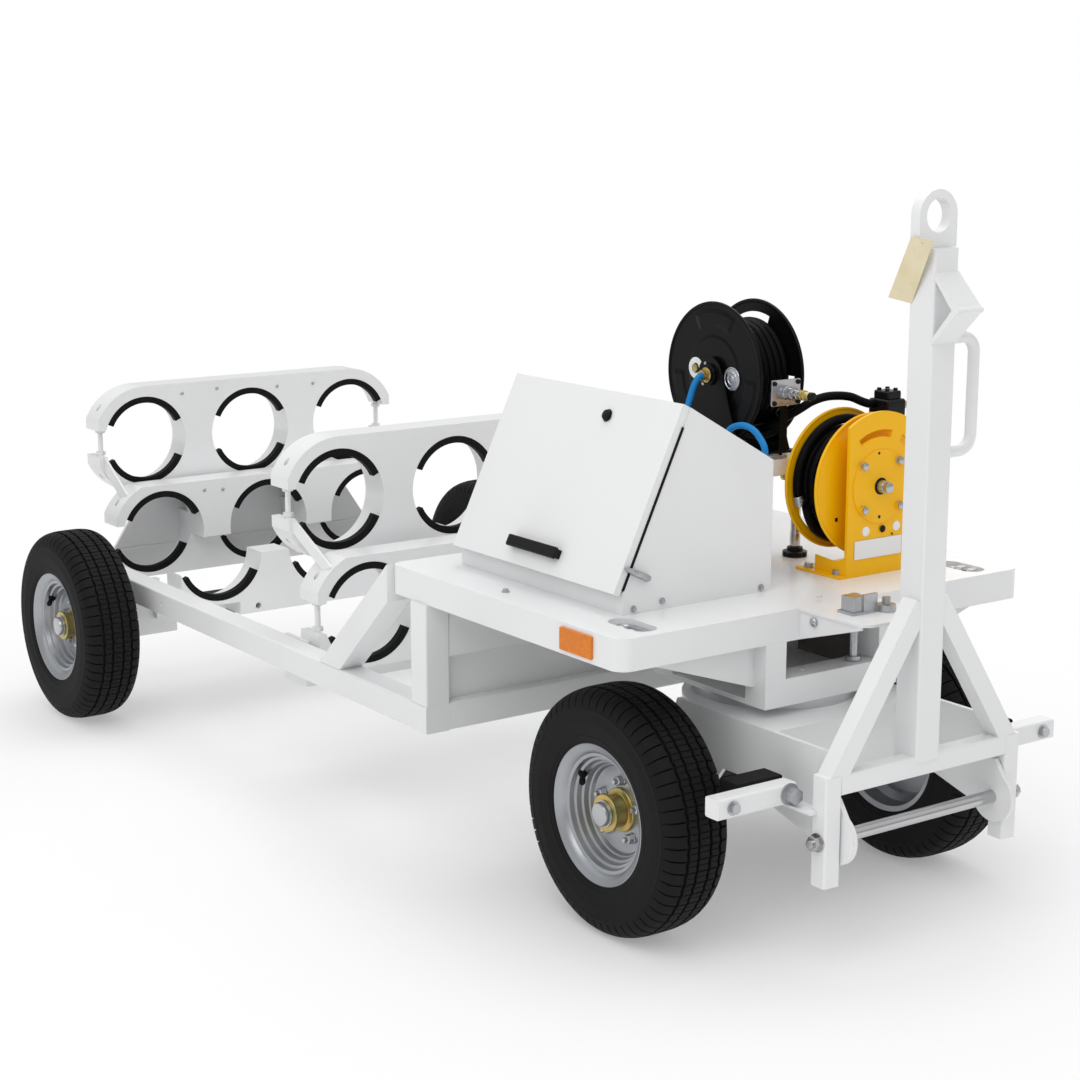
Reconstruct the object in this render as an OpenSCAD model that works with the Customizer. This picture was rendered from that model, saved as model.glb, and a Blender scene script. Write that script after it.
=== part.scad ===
// Gas cylinder cart. Two rows of ring clamps hold gas cylinders that lie along
// the cart, and a raised deck at the front carries a control box and two hose
// reels. The front axle turns under the deck and the tow bar folds upright.
// Sizes in mm. X runs forward to the tow bar, Y to the left, Z up.

/* [Wheels] */
// Outer diameter of a tyre
tyre_d = 584; // [450:1:700]
// Width of a tyre
tyre_w = 178; // [140:1:220]
// Diameter of the bead seat on a rim
seat_d = 311; // [280:1:340]
// Outer diameter of the rim flange
flange_d = 326; // [300:1:360]
// Thickness of the rim sheet
rim_t = 5; // [3:0.5:8]
// Outer face of the wheel disc, outward from the middle of the tyre
disc_w = 8; // [-40:1:50]
// Distance of the front tyres' middle from the centre line
front_y = 451; // [350:1:600]
// Distance of the rear tyres' middle from the centre line
rear_y = 767; // [650:1:900]
// Rear axle behind the front axle
wheelbase = 2370; // [1800:5:3000]
// Largest diameter of a hub
hub_d = 104; // [80:1:130]
// Diameter of the grease cap
cap_d = 57; // [40:1:80]
// Diameter of the circle of wheel nuts
stud_circle = 142; // [120:1:180]
// Number of wheel nuts on a wheel
stud_n = 5; // [4:1:6]
// Width across the corners of a wheel nut
nut_d = 25; // [18:1:34]
// Diameter of the stub axles
stub_d = 45; // [30:1:60]

/* [Long frame] */
// Side of the square frame tube
tube = 71; // [50:1:100]
// Corner radius of the frame tube
tube_r = 6; // [2:0.5:12]
// Outer face of a side rail from the centre line
rail_y = 630; // [500:1:760]
// Underside of the side rails above the ground
rail_z = 358; // [250:1:450]
// Rear end of the side rails, behind the front axle
rail_rear = 2770; // [2400:5:3200]
// Front face of the posts, behind the front axle
post_x = 567; // [450:1:700]
// Slope of the diagonal braces, degrees
brace_a = 43; // [30:1:60]
// Side of the rear axle beam
axle_side = 70; // [50:1:90]
// Length of the axle bracket along the cart
bracket_l = 190; // [120:5:260]
// Width of the axle bracket across the cart
bracket_w = 150; // [80:5:220]
// Wall of the axle bracket
bracket_t = 10; // [5:1:16]

/* [Racks] */
// Radius of a rack's ring bore
ring_r = 143.5; // [110:0.5:200]
// Thickness of the rubber strips
strip_t = 20; // [10:1:35]
// Depth of the rubber strips along the cart
strip_x = 22; // [10:1:50]
// Spacing of the rings across the cart
ring_pitch = 384; // [330:1:450]
// Wall of a rack bar outside its rings
bar_wall = 34.5; // [25:0.5:60]
// Depth of a rack bar along the cart
bar_x = 100; // [50:1:150]
// Height of the upper rings
top_z = 792; // [700:1:900]
// Height of the lower rings
low_z = 497; // [420:1:600]
// Half angle that a rubber strip covers, degrees
strip_a = 64; // [40:1:80]
// Height of the open slot at the end of a row
slot_h = 85; // [50:1:120]
// Front face of the rear upper rack, behind the front axle
rear_top_x = 2665; // [2300:5:3000]
// Front face of the rear lower clamp
rear_clamp_x = 2550; // [2200:5:2900]
// Front face of the rear lower saddle
rear_saddle_x = 2650; // [2200:1:2900]
// Depth of the rear saddle
saddle_x = 80; // [40:1:120]
// Front face of the middle saddle, ahead of the rear axle
saddle_ahead = 220; // [180:5:600]
// Front face of the front upper rack
front_top_x = 1401; // [1200:1:1700]
// Front face of the front lower rack
front_low_x = 1247; // [1000:1:1500]
// Diameter of the clamp rods
rod_d = 16; // [10:1:24]
// Width of the braces between the racks
rack_brace_w = 30; // [20:1:50]

/* [Deck] */
// Top of the deck above the ground
deck_z = 758; // [650:1:900]
// Depth of the deck's lip
lip_h = 73; // [50:1:110]
// Half width of the deck
deck_y = 622; // [500:1:760]
// Front edge of the deck ahead of the front axle
deck_front = 201; // [150:1:300]
// Rear edge of the deck behind the front axle
deck_rear = 744; // [600:1:900]
// Corner radius of the deck
deck_r = 35; // [10:1:70]
// Sheet thickness of deck and boxes
sheet = 3; // [2:0.5:6]
// Position of the lifting rings
lift_xy = [132, 512]; // [0:1:700]
// Half length and half width of a lifting ring's recess
lift_pan = [72, 36]; // [20:1:100]
// Thickness of a lifting ring's bar
lift_bar = 12; // [8:1:20]
// Length of the side reflectors
reflector_l = 94; // [60:1:140]
// Height of the side reflectors
reflector_h = 46; // [30:1:60]
// Rear end of a side reflector, behind the front axle
reflector_x = 60; // [-150:1:300]

/* [Tongue and catch] */
// Front end of the tongue
tongue_x = 412; // [350:1:440]
// Half width of the tongue
tongue_y = 110; // [70:1:160]
// Size of the catch block: length, width, height
catch_size = [40, 40, 34]; // [10:1:80]
// Position of the catch block
catch_xy = [302, -37]; // [-200:1:400]
// Position of the lock pin
pin_xy = [166, 97]; // [-200:1:400]
// Diameter of the lock pin
pin_d = 20; // [12:1:30]

/* [Neck] */
// Outer half width of the neck
neck_y = 206; // [150:1:300]
// Width of a neck column
column_w = 61; // [40:1:90]
// Depth of the neck along the cart
neck_x = 70; // [50:1:120]
// Underside of the neck
neck_z = 533; // [480:1:600]
// Height of the neck's lower beam
neck_beam = 64; // [40:1:90]
// Outer end of the outriggers
outrigger_y = 533; // [400:1:600]

/* [Steering frame] */
// Top of the steering plate
steer_z = 510; // [450:1:530]
// Half width of the steering frame
steer_y = 250; // [200:1:320]
// Front of the steering frame
steer_front = 283; // [220:1:340]
// Middle of the steering plate's rounded rear
steer_mid = 45; // [0:1:100]
// Thickness of the steering frame's plates
steer_t = 12; // [6:1:20]
// Radius of the turntable rings
ring_out = 198; // [150:1:240]
// Underside of the steering frame's sides
side_z = 380; // [300:1:430]
// Tow bar pivot ahead of the front axle
pivot_x = 486; // [400:1:560]
// Tow bar pivot above the ground
pivot_z = 322; // [250:1:400]
// Radius of the steering frame's lugs
lug_r = 60; // [40:1:80]
// Diameter of the pivot rod
pivot_d = 30; // [20:1:40]
// Thread diameter of the pivot rod's ends
pivot_end = 20; // [12:1:28]

/* [Tow bar] */
// Side of the tow bar's base tube
leg = 46; // [35:1:60]
// Inner face of the legs from the centre line
leg_y = 253; // [220:1:320]
// Lower end of the legs
leg_z = 220; // [180:1:280]
// Upper end of the legs
leg_top = 470; // [420:1:560]
// Side of the square post
post = 72; // [50:1:90]
// From the middle of the tow eye down to the post's top
eye_drop = 67; // [57:1:120]
// Height where the braces meet the post
brace_top = 776; // [650:1:900]
// Outer end of the brake stubs from the centre line
stub_end = 520; // [400:1:600]
// Rear face of the brake stubs
stub_x = 371; // [330:1:420]
// Brake pad: depth, height
pad_size = [62, 66]; // [20:1:120]
// Inner and outer edges of a brake pad
pad_y = [294, 500]; // [200:1:560]
// Outer and inner radius of the tow eye
eye_r = [55, 36]; // [20:1:80]
// Thickness of the tow eye
eye_t = 27; // [15:1:40]
// Height of the middle of the tow eye
eye_z = 1651; // [1300:1:1900]
// Depth of the bent strike in front of the post
strike_x = 76; // [40:1:120]
// Upper and lower end of the strike, below the post's top
strike_low = [49, 202]; // [20:1:400]
// Upper and lower end of the handle, below the post's top
handle_low = [196, 445]; // [100:1:700]
// Diameter of the handle bar
handle_d = 26; // [16:1:34]
// Distance of the handle bar from the post
handle_y = 94; // [60:1:140]
// Width and length of the paper tag
tag_size = [68, 144]; // [30:1:200]

/* [Control box] */
// Rear and front end of the box
box_x = [-632, 24]; // [-900:1:150]
// Near and far side of the box
box_y = [-479, -40]; // [-560:1:300]
// Height of the box's plinth
plinth_z = 811; // [780:1:880]
// Ridge of the box: across, height
ridge = [-290, 1212]; // [-500:1:1400]
// Height of the box's rear wall
rear_wall_z = 1069; // [900:1:1200]
// How far the door's lower edge stands out past the plinth
door_out = 12; // [0:1:30]
// Thickness of the door
door_t = 18; // [3:1:30]
// Ends of the door handle
grip_x = [-399, -205]; // [-632:1:24]
// Height of the door handle
grip_z = 846; // [820:1:1100]
// Width, thickness and stand-off of the door handle's bar
grip_bar = [28, 10, 12]; // [6:1:40]
// Position of the round button on the door
button_xz = [-223, 1158]; // [-632:1:1300]

/* [Yellow reel] */
// Axis of the yellow reel: across, height
yreel = [287, 975]; // [100:1:1200]
// Front flange and back flange
yflange_x = [3, -105]; // [-200:1:100]
// Radius of the yellow reel's flanges
yreel_r = 175; // [120:1:220]
// Radius of its shallow and deep turns of hose
ywind_r = [160, 135]; // [100:1:180]
// Rear and front end of its base plate
ybase_x = [-113, 43]; // [-200:1:120]
// Near and far side of its base plate
ybase_y = [161, 413]; // [100:1:500]
// Half width of its arm plate
yarm_w = 104; // [60:1:140]
// Diameter of the hose on both reels
hose_d = 24; // [16:1:32]

/* [Black reel] */
// Axis of the black reel: along, height
breel = [-336, 1222]; // [-500:1:1400]
// Near and far flange
bflange_y = [80, 210]; // [0:1:300]
// Radius of the black reel's flanges
breel_r = 180; // [120:1:220]
// Radius of its drum
bdrum_r = 108; // [60:1:140]
// Turns of hose on the drum
turns = 5; // [3:1:7]
// Height of the shelf under the reel
shelf_z = 1030; // [950:1:1100]
// Rear and front end of the shelf
shelf_x = [-500, -140]; // [-700:1:0]
// Near and far side of the shelf
shelf_y = [-30, 240]; // [-40:1:400]
// Valve column: along, across
valve_xy = [-228, 262]; // [-400:1:500]

/* [Fits] */
// Running clearance on a shaft, on the radius
run = 0.05; // [0.01:0.01:0.1]
// Clearance round soft pieces
soft = 0.3; // [0.1:0.05:0.6]
// Clearance between pieces that pass each other
pass = 1; // [0.3:0.1:3]

/* [Hidden] */
$fn = 96;
white = [0.93, 0.93, 0.92];
dark = [0.09, 0.09, 0.1];
steel = [0.72, 0.73, 0.75];
gold = [0.78, 0.6, 0.2];
yellow = [0.98, 0.7, 0.03];
blue = [0.05, 0.42, 0.75];
amber = [0.96, 0.5, 0.05];
card = [0.93, 0.89, 0.75];
joins = 0.2;
rivet = 8;
tyre_r = tyre_d / 2;
seat_r = seat_d / 2;
flange_r = flange_d / 2;
rim_w = tyre_w * 0.45;
rim_lip = 6;
well_r = seat_r - 18;
well_w = [-0.2 * rim_w, 0.42 * rim_w];
well_slope = 16;
// How far up the tyre's side, and how wide, as parts of its height and half width
tyre_shape = [[0, 0.8], [0.065, 0.81], [0.08, 0.9], [0.14, 0.95], [0.33, 0.99],
    [0.55, 1], [0.76, 0.96], [0.91, 0.82], [0.975, 0.6], [1, 0.3]];
hub_r = hub_d / 2;
hub_flange_r = stud_circle / 2 + 15;
hub_flange_t = 10;
hub_neck_r = hub_r * 0.72;
hub_out = disc_w + 42;
hub_in = disc_w - 70;
stud_r = 6;
nut_h = 14;
stub_in = hub_out - 12;
post_front = pivot_x + leg / 2 + 3;
post_mid = post_front - post / 2;
mid_x = (post_front + strike_x - rail_rear) / 2;
rail_top = rail_z + tube;
rail_mid_y = rail_y - tube / 2;
deck_under = deck_z - lip_h;
deck_wall = 30;
rail_in = rail_y - tube;
bulk_z = rail_top + (deck_under - rail_top) * 0.46;
bar_r = ring_r + bar_wall;
mid_saddle_x = wheelbase - saddle_ahead;
strip_r = ring_r - soft;
strip_in = ring_r - strip_t;
ring_y = [-ring_pitch, 0, ring_pitch];
rack_end = ring_pitch + bar_r - 16;
rod_y = ring_pitch + ring_r - 7;
nut_t = 12;
low_top = bar_r - 15;
low_foot = bar_r - 22;
u_bar = 41;
end_plate_y = [480, 357];
slot_top = slot_h / 2;
cab = [[box_y[0], deck_z], [box_y[1], deck_z], [box_y[1], rear_wall_z],
    [ridge[0], ridge[1]], [box_y[0], plinth_z]];
door_dir = [ridge[0] - box_y[0], ridge[1] - plinth_z];
door_len = norm(door_dir);
door_lean = atan2(door_dir[0], door_dir[1]);
seal_t = 5;
seal_w = 14;
frame_w = 24;
king_d = 60;
arm_t = 8;
yarm_x = ybase_x[1] - arm_t;
ywin = [132, 150];
post_top = eye_z - eye_drop;
strike_z = [for (d = strike_low) post_top - d];
handle_z = [for (d = handle_low) post_top - d];
tag_z = post_top - 117;
hinge_r = 2.5;
tag_lean = 9.6;
eye_x = post_mid - 6 - eye_t / 2;
hose_r = hose_d / 2;
bmid_y = (bflange_y[0] + bflange_y[1]) / 2;
blue_d = 20;
stop_xyz = [-50, 378, 1165.5];
// The black hose from the black reel over the yellow reel to its stop
run_path = [[-292, 145, 1083.6], [-262, 158, 1088], [-228, 169, 1097], [-196, 184, 1108],
    [-172, 206, 1120], [-153, 232, 1137], [-136, 258, 1152], [-119, 284, 1165], [-100, 308, 1174],
    [-84, 330, 1174], [-68, 347, 1168], [-63, 358, 1162], [-63, 369.6, 1162]];
// The two blue hoses behind the box's ridge
blue_a = [[-336, 27.6, 1222], [-336, 19, 1222], [-348, 10, 1216], [-364, 3, 1200],
    [-378, 0, 1180], [-390, -4, 1156], [-397, -12, 1132], [-400, -26, 1112], [-400, -40, 1096],
    [-400, -51.6, 1076.2]];
blue_b = [[-250, 8, 1030.4], [-250, 8, 1050], [-242, 6, 1070], [-220, 2, 1088], [-188, -2, 1098],
    [-156, -4, 1099], [-128, -4, 1090], [-110, -5, 1071], [-104, -10, 1048], [-104, -20, 1030],
    [-104, -31, 1020], [-104, -39.6, 1020]];

function inset(p, s) = let(n = len(p)) [for (i = [0:n - 1])
    let(a = p[(i + n - 1) % n], b = p[i], c = p[(i + 1) % n],
        u = (b - a) / norm(b - a), v = (c - b) / norm(c - b),
        un = [-u[1], u[0]], vn = [-v[1], v[0]])
    b + s * (un + vn) / (1 + un * vn)];

module placed() { translate([-mid_x, 0, 0]) children(); }
module both_sides() { children(); mirror([0, 1, 0]) children(); }

module round_sq(w, h, r) {
    square([w - 2 * r, h], center = true);
    square([w, h - 2 * r], center = true);
    for (x = [-1, 1], y = [-1, 1])
        translate([x * (w / 2 - r), y * (h / 2 - r)]) circle(r);
}

module slab(w, h, r) { translate([w / 2, h / 2]) round_sq(w, h, r); }
module bar_x(x0, x1, y, z, w, h, r) {
    translate([x0, y, z]) rotate([90, 0, 90]) linear_extrude(x1 - x0) round_sq(w, h, r);
}
module bar_y(y0, y1, x, z, w, h, r) {
    translate([x, y1, z]) rotate([90, 0, 0]) linear_extrude(y1 - y0) round_sq(w, h, r);
}
module bar_z(x, y, z0, z1, w, h, r) {
    translate([x, y, z0]) linear_extrude(z1 - z0) round_sq(w, h, r);
}
// Plates: the outline is drawn in YZ, XZ or XY
module plate_x(x0, t) {
    translate([x0, 0, 0]) rotate([90, 0, 90]) linear_extrude(t) children();
}
module plate_y(y0, t) {
    translate([0, y0 + t, 0]) rotate([90, 0, 0]) linear_extrude(t) children();
}
module plate_z(z0, t) { translate([0, 0, z0]) linear_extrude(t) children(); }
module rod_along_y(y0, y1, x, z, d) {
    translate([x, y1, z]) rotate([90, 0, 0]) cylinder(h = y1 - y0, d = d);
}
module rod_along_x(x0, x1, y, z, d) {
    translate([x0, y, z]) rotate([0, 90, 0]) cylinder(h = x1 - x0, d = d);
}
module sector(r, a0, a1) {
    k = 1 / cos((a1 - a0) / 4);
    polygon([[0, 0], for (i = [0:2]) let(a = a0 + (a1 - a0) * i / 2)
        2 * k * r * [cos(a), sin(a)]]);
}
module arc_band(r0, r1, a0, a1) {
    intersection() {
        difference() { circle(r1); circle(r0); }
        sector(r1, a0, a1);
    }
}

// A hose of one width along a list of points
module hose(path, d, sides = 10) {
    n = len(path);
    rings = [for (i = [0:n - 1])
        let(a = path[max(i - 1, 0)], b = path[min(i + 1, n - 1)], t = (b - a) / norm(b - a),
            s0 = cross(t, [0.31, -0.6, 0.74]), s = s0 / norm(s0), q = cross(t, s))
        for (k = [0:sides - 1]) let(w = 360 * k / sides)
            path[i] + d / 2 * (cos(w) * s + sin(w) * q)];
    polyhedron(rings, concat(
        [[for (k = [0:sides - 1]) k]],
        [for (i = [0:n - 2], k = [0:sides - 1]) let(k1 = (k + 1) % sides)
            [i * sides + k, (i + 1) * sides + k, (i + 1) * sides + k1, i * sides + k1]],
        [[for (k = [sides - 1:-1:0]) (n - 1) * sides + k]]));
}

// Local Z points outward from the cart, through the middle of the wheel
module wheel_place(x, y) {
    placed() translate([x, y, tyre_r]) rotate([y < 0 ? 90 : -90, 0, 0]) children();
}
module tyre() {
    h = tyre_r - seat_r - soft;
    side = [for (p = tyre_shape) [seat_r + soft + p[0] * h, p[1] * tyre_w / 2]];
    n = len(side);
    color(dark) rotate_extrude()
        polygon(concat(side, [for (i = [n - 1:-1:0]) [side[i][0], -side[i][1]]]));
}
module rim() {
    inner = seat_r - rim_t;
    color(steel) difference() {
        union() {
            rotate_extrude() polygon([
                [flange_r, rim_w], [flange_r, rim_w - rim_lip], [seat_r, rim_w - rim_lip],
                [seat_r, well_w[1] + well_slope], [well_r, well_w[1]], [well_r, well_w[0]],
                [seat_r, well_w[0] - well_slope], [seat_r, rim_lip - rim_w],
                [flange_r, rim_lip - rim_w], [flange_r, -rim_w], [inner, -rim_w],
                [inner, well_w[0] - well_slope], [well_r - rim_t, well_w[0]],
                [well_r - rim_t, well_w[1]], [inner, well_w[1] + well_slope], [inner, rim_w]]);
            translate([0, 0, disc_w - rim_t]) cylinder(h = rim_t, r = well_r - rim_t / 2);
        }
        translate([0, 0, disc_w - 2 * rim_t]) {
            cylinder(h = 3 * rim_t, r = hub_r + soft);
            for (i = [1:stud_n]) rotate(i * 360 / stud_n)
                translate([stud_circle / 2, 0, 0]) cylinder(h = 3 * rim_t, r = stud_r + soft);
        }
    }
}
module hub() {
    back = disc_w - rim_t;
    color(gold) difference() {
        union() {
            translate([0, 0, hub_in]) cylinder(h = back - hub_in, r = hub_neck_r + rim_lip);
            translate([0, 0, back - hub_flange_t]) cylinder(h = hub_flange_t, r = hub_flange_r);
            translate([0, 0, back - joins]) cylinder(h = 2 * hub_flange_t, r = hub_r);
            translate([0, 0, back]) cylinder(h = hub_out - back, r = hub_neck_r);
            translate([0, 0, hub_out - rim_lip]) cylinder(h = rim_lip, r = hub_neck_r + 3);
        }
        translate([0, 0, hub_in - 1]) cylinder(h = stub_in - hub_in + 2, r = stub_d / 2 + run);
    }
    wheel_nuts();
    color(steel) translate([0, 0, hub_out]) {
        cylinder(h = hub_flange_t, d = cap_d);
        translate([0, 0, hub_flange_t]) cylinder(h = rim_lip, d1 = cap_d, d2 = cap_d * 0.8);
    }
}
module wheel_nuts() {
    color(steel) for (i = [1:stud_n]) rotate(i * 360 / stud_n)
        translate([stud_circle / 2, 0, disc_w]) {
            cylinder(h = nut_h, d = nut_d, $fn = 6);
            translate([0, 0, -rim_t]) cylinder(h = rim_t + nut_h + rim_lip, r = stud_r);
        }
}
module stub_axle(y) {
    wheel_place(0, y) translate([0, 0, hub_in - 30]) cylinder(h = stub_in - hub_in + 30, d = stub_d);
}

module side_rails() {
    axle_brackets();
    color(white) placed() both_sides() difference() {
        bar_x(-rail_rear, -post_x, -rail_mid_y, rail_z + tube / 2, tube, tube, tube_r);
        rod_along_y(-rail_y - 1, -rail_y + rivet, -2064, rail_z + tube / 2, rivet * 2);
    }
}
module cross_members() {
    color(white) placed() {
        bar_y(-rail_in, rail_in, -post_x - tube / 2, rail_z + tube / 2, tube, tube, tube_r);
        for (b = [[mid_saddle_x + bar_x, tube / 3], [front_low_x + bar_x / 2, tube + bar_x / 2]])
            difference() {
                translate([-b[0] - b[1], -rail_in, low_z - low_foot - u_bar])
                    cube([b[1], 2 * rail_in, u_bar + low_foot - low_z + rail_top]);
                translate([-b[0] - b[1] - 1, -rack_end - soft, low_z - low_foot])
                    cube([b[1] + 2, 2 * (rack_end + soft), tube + rail_z]);
            }
        bar_y(-rail_in, rail_in, -(rail_rear + rear_saddle_x + saddle_x) / 2,
            rail_z + tube / 2, rail_rear - rear_saddle_x - saddle_x, tube, tube_r);
    }
}
module rear_axle() {
    w = rear_y + hub_in;
    color(dark) placed() {
        bar_y(-w + 1, w - 1, -wheelbase, tyre_r, axle_side, axle_side, tube_r);
        both_sides() rod_along_y(-rear_y - stub_in, -w + 2, -wheelbase, tyre_r, stub_d);
    }
}
module axle_brackets() {
    hole = axle_side + 2 * soft;
    color(white) placed() both_sides() difference() {
        translate([-wheelbase - bracket_l / 2, -rail_y, tyre_r - axle_side / 2 - bracket_t])
            cube([bracket_l, bracket_w, rail_z - tyre_r + axle_side / 2 + bracket_t]);
        translate([-wheelbase - hole / 2, -rail_y - 1, tyre_r - hole / 2])
            cube([hole, bracket_w + 2, hole]);
    }
}
module posts_and_braces() {
    d = tan(brace_a);
    h = tube / cos(brace_a);
    color(white) placed() both_sides() {
        bar_z(-post_x - tube / 2, -rail_mid_y, rail_top, deck_under, tube, tube, tube_r);
        plate_y(-rail_y, tube) polygon([[-deck_rear, deck_z - 2],
            [-deck_rear - (deck_z - 2 - rail_top) / d, rail_top],
            [-deck_rear - (deck_z - 2 - h - rail_top) / d, rail_top],
            [-deck_rear, deck_z - 2 - h]]);
    }
}
module bulkhead() {
    color(white) placed() {
        translate([-post_x - tube, -rail_in, bulk_z]) cube([tube, 2 * rail_in, deck_under - bulk_z]);
        translate([-post_x - tube / 2, -rail_in, rail_top])
            cube([sheet, 2 * rail_in, bulk_z - rail_top]);
    }
}
module neck_frame() {
    c = neck_y - column_w;
    h = deck_z - sheet * 2 - neck_z;
    back = -ring_out - 7;
    color(white) placed() difference() {
        union() {
            for (x = [deck_front - neck_x, back], y = [-neck_y, c])
                translate([x, y, neck_z]) cube([neck_x, column_w, deck_under - neck_z]);
            translate([deck_front - neck_x, -neck_y, neck_z]) cube([neck_x, 2 * neck_y, neck_beam]);
            plate_z(neck_z, steer_t) translate([back, -neck_y])
                square([deck_front - back, 2 * neck_y]);
            both_sides() translate([-deck_rear + deck_wall, c, deck_under])
                cube([deck_front + deck_rear - 2 * deck_wall, column_w, h - deck_under + neck_z]);
            outriggers();
        }
        translate([pin_xy[0], pin_xy[1], neck_z - 1]) cylinder(h = neck_beam + 2, r = pin_d / 2 + run);
        translate([165, -60, neck_z + neck_beam - rivet]) cylinder(h = rivet + 1, r = rivet);
    }
}
module outriggers() {
    x = deck_front - 53;
    top = deck_z - sheet * 2;
    both_sides() difference() {
        plate_x(x, steer_t) polygon([[-neck_y, neck_z + 45], [-neck_y, top],
            [-deck_y + deck_wall, top], [-outrigger_y - 20, deck_under], [-outrigger_y, deck_under]]);
        translate([lift_xy[0] - deck_wall, -lift_xy[1], 0]) plate_z(deck_z - 30 - soft, lip_h)
            stadium(lift_pan[0] + soft, lift_pan[1] + soft, lift_pan[1] + soft);
    }
}
module deck_outline() {
    translate([-deck_rear, -deck_y]) slab(deck_rear + deck_front, 2 * deck_y, deck_r);
}
module stadium(x, y, r) {
    circle(r);
    translate([0, -r]) square([x - r, 2 * r]);
    mirror([1, 0]) translate([0, -r]) square([x - r, 2 * r]);
    for (s = [-1, 1]) translate([s * (x - r), 0]) circle(r);
}
module deck() {
    lift_pans();
    tongue();
    color(white) placed() difference() {
        plate_z(deck_under, lip_h) deck_outline();
        translate([deck_wall - deck_rear, deck_wall - deck_y, deck_under - 1])
            cube([deck_rear + deck_front - 2 * deck_wall, 2 * (deck_y - deck_wall),
                lip_h + 1 - 2 * sheet]);
        both_sides() translate([lift_xy[0] - deck_wall, -lift_xy[1], 0])
            plate_z(deck_z - lip_h / 2, lip_h) stadium(lift_pan[0], lift_pan[1], lift_pan[1]);
        translate([pin_xy[0], pin_xy[1], deck_under - 1])
            cylinder(h = lip_h + 2, r = pin_d / 2 + pass);
    }
}
module tongue() {
    drop = [[deck_front, deck_under], [tongue_x - 12, deck_z - 4 * sheet],
        [tongue_x - 12, deck_z - sheet * 2], [deck_front, deck_z - sheet * 2]];
    color(white) placed() {
        plate_z(deck_z - 2 * sheet, 2 * sheet) difference() {
            translate([0, -tongue_y]) slab(tongue_x, 2 * tongue_y, deck_r);
            square([2 * deck_front, 3 * tongue_y], center = true);
        }
        both_sides() plate_y(-tongue_y + sheet, 2 * sheet) polygon(drop);
    }
}
module reflectors() {
    color(amber) placed() both_sides()
        translate([-reflector_x, -deck_y - 7, deck_under + lip_h / 2 - reflector_h / 2])
            cube([reflector_l, 7, reflector_h]);
}
module lift_pans() {
    color(white) placed() both_sides() translate([lift_xy[0] - deck_wall, -lift_xy[1], 0])
        difference() {
            plate_z(deck_z - 30, 30) stadium(lift_pan[0] - joins, lift_pan[1], lift_pan[1] - joins);
            plate_z(deck_z - 24, 40)
                stadium(lift_pan[0] - 4, lift_pan[1], lift_pan[1] - 4);
        }
    color(white) placed() both_sides() translate([lift_xy[0] - deck_wall, -lift_xy[1], 0])
        for (x = [-26, 10]) difference() {
            translate([x, -lift_pan[1] + 4, deck_z - 25]) cube([16, 20, 19]);
            rod_along_x(x - 1, x + 17, -lift_pan[1] + 14, deck_z - 15, lift_bar + 2 * run);
        }
}
module lift_ring(side) {
    l = lift_pan[0] - 22;
    r = lift_pan[1] - 14;
    color(steel) placed() translate([lift_xy[0] - deck_wall, side * lift_xy[1], deck_z - 15]) {
        for (s = [-1, 1]) {
            translate([-(l - r), s * r, 0]) rotate([0, 90, 0])
                cylinder(h = 2 * (l - r), d = lift_bar);
            rotate(s > 0 ? 0 : 180) translate([l - r, 0, 0]) rotate(-90)
                rotate_extrude(angle = 180) translate([r, 0]) circle(d = lift_bar);
        }
    }
}
module lift_ring_right() { lift_ring(-1); }
module lift_ring_left() { lift_ring(1); }
module turntable_upper() {
    color(steel) placed() difference() {
        translate([0, 0, (neck_z + steer_z) / 2 + run])
            cylinder(h = (neck_z - steer_z) / 2 - run, r = ring_out);
        translate([0, 0, steer_z]) cylinder(h = lip_h, r = ring_out - 38);
    }
    color(steel) placed() translate([0, 0, steer_z - 30]) cylinder(h = neck_z - steer_z + 30, d = king_d);
}
module turntable_lower() {
    color(steel) placed() difference() {
        translate([0, 0, steer_z]) cylinder(h = (neck_z - steer_z) / 2, r = ring_out);
        translate([0, 0, steer_z - 1]) cylinder(h = lip_h, r = ring_out - 38);
    }
}
module lock_pin() {
    color(steel) placed() translate([pin_xy[0], pin_xy[1], 0]) {
        translate([0, 0, neck_z + 4]) cylinder(h = deck_z + 52 - neck_z, d = pin_d);
        translate([0, 0, neck_z + neck_beam + soft]) cylinder(h = 12, d = pin_d * 1.9);
        translate([0, 0, deck_z + 50]) cylinder(h = 14, d = pin_d * 1.9);
    }
}
module tow_catch() {
    x = catch_xy[0];
    y = catch_xy[1];
    color(steel) placed() {
        translate([x - 26, y - 26, deck_z]) cube([52, 52, 6]);
        translate([x - catch_size[0] / 2, y - catch_size[1] / 2, deck_z])
            cube([catch_size[0], catch_size[1], 6 + catch_size[2]]);
        translate([x + 16, y + 8, deck_z]) cube([rivet, 42, 44]);
        translate([x + 28, -y, deck_z]) cylinder(h = 16, d = 44);
        translate([x + 28, -y, deck_z]) cylinder(h = 32, d = 22, $fn = 6);
    }
}

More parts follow.
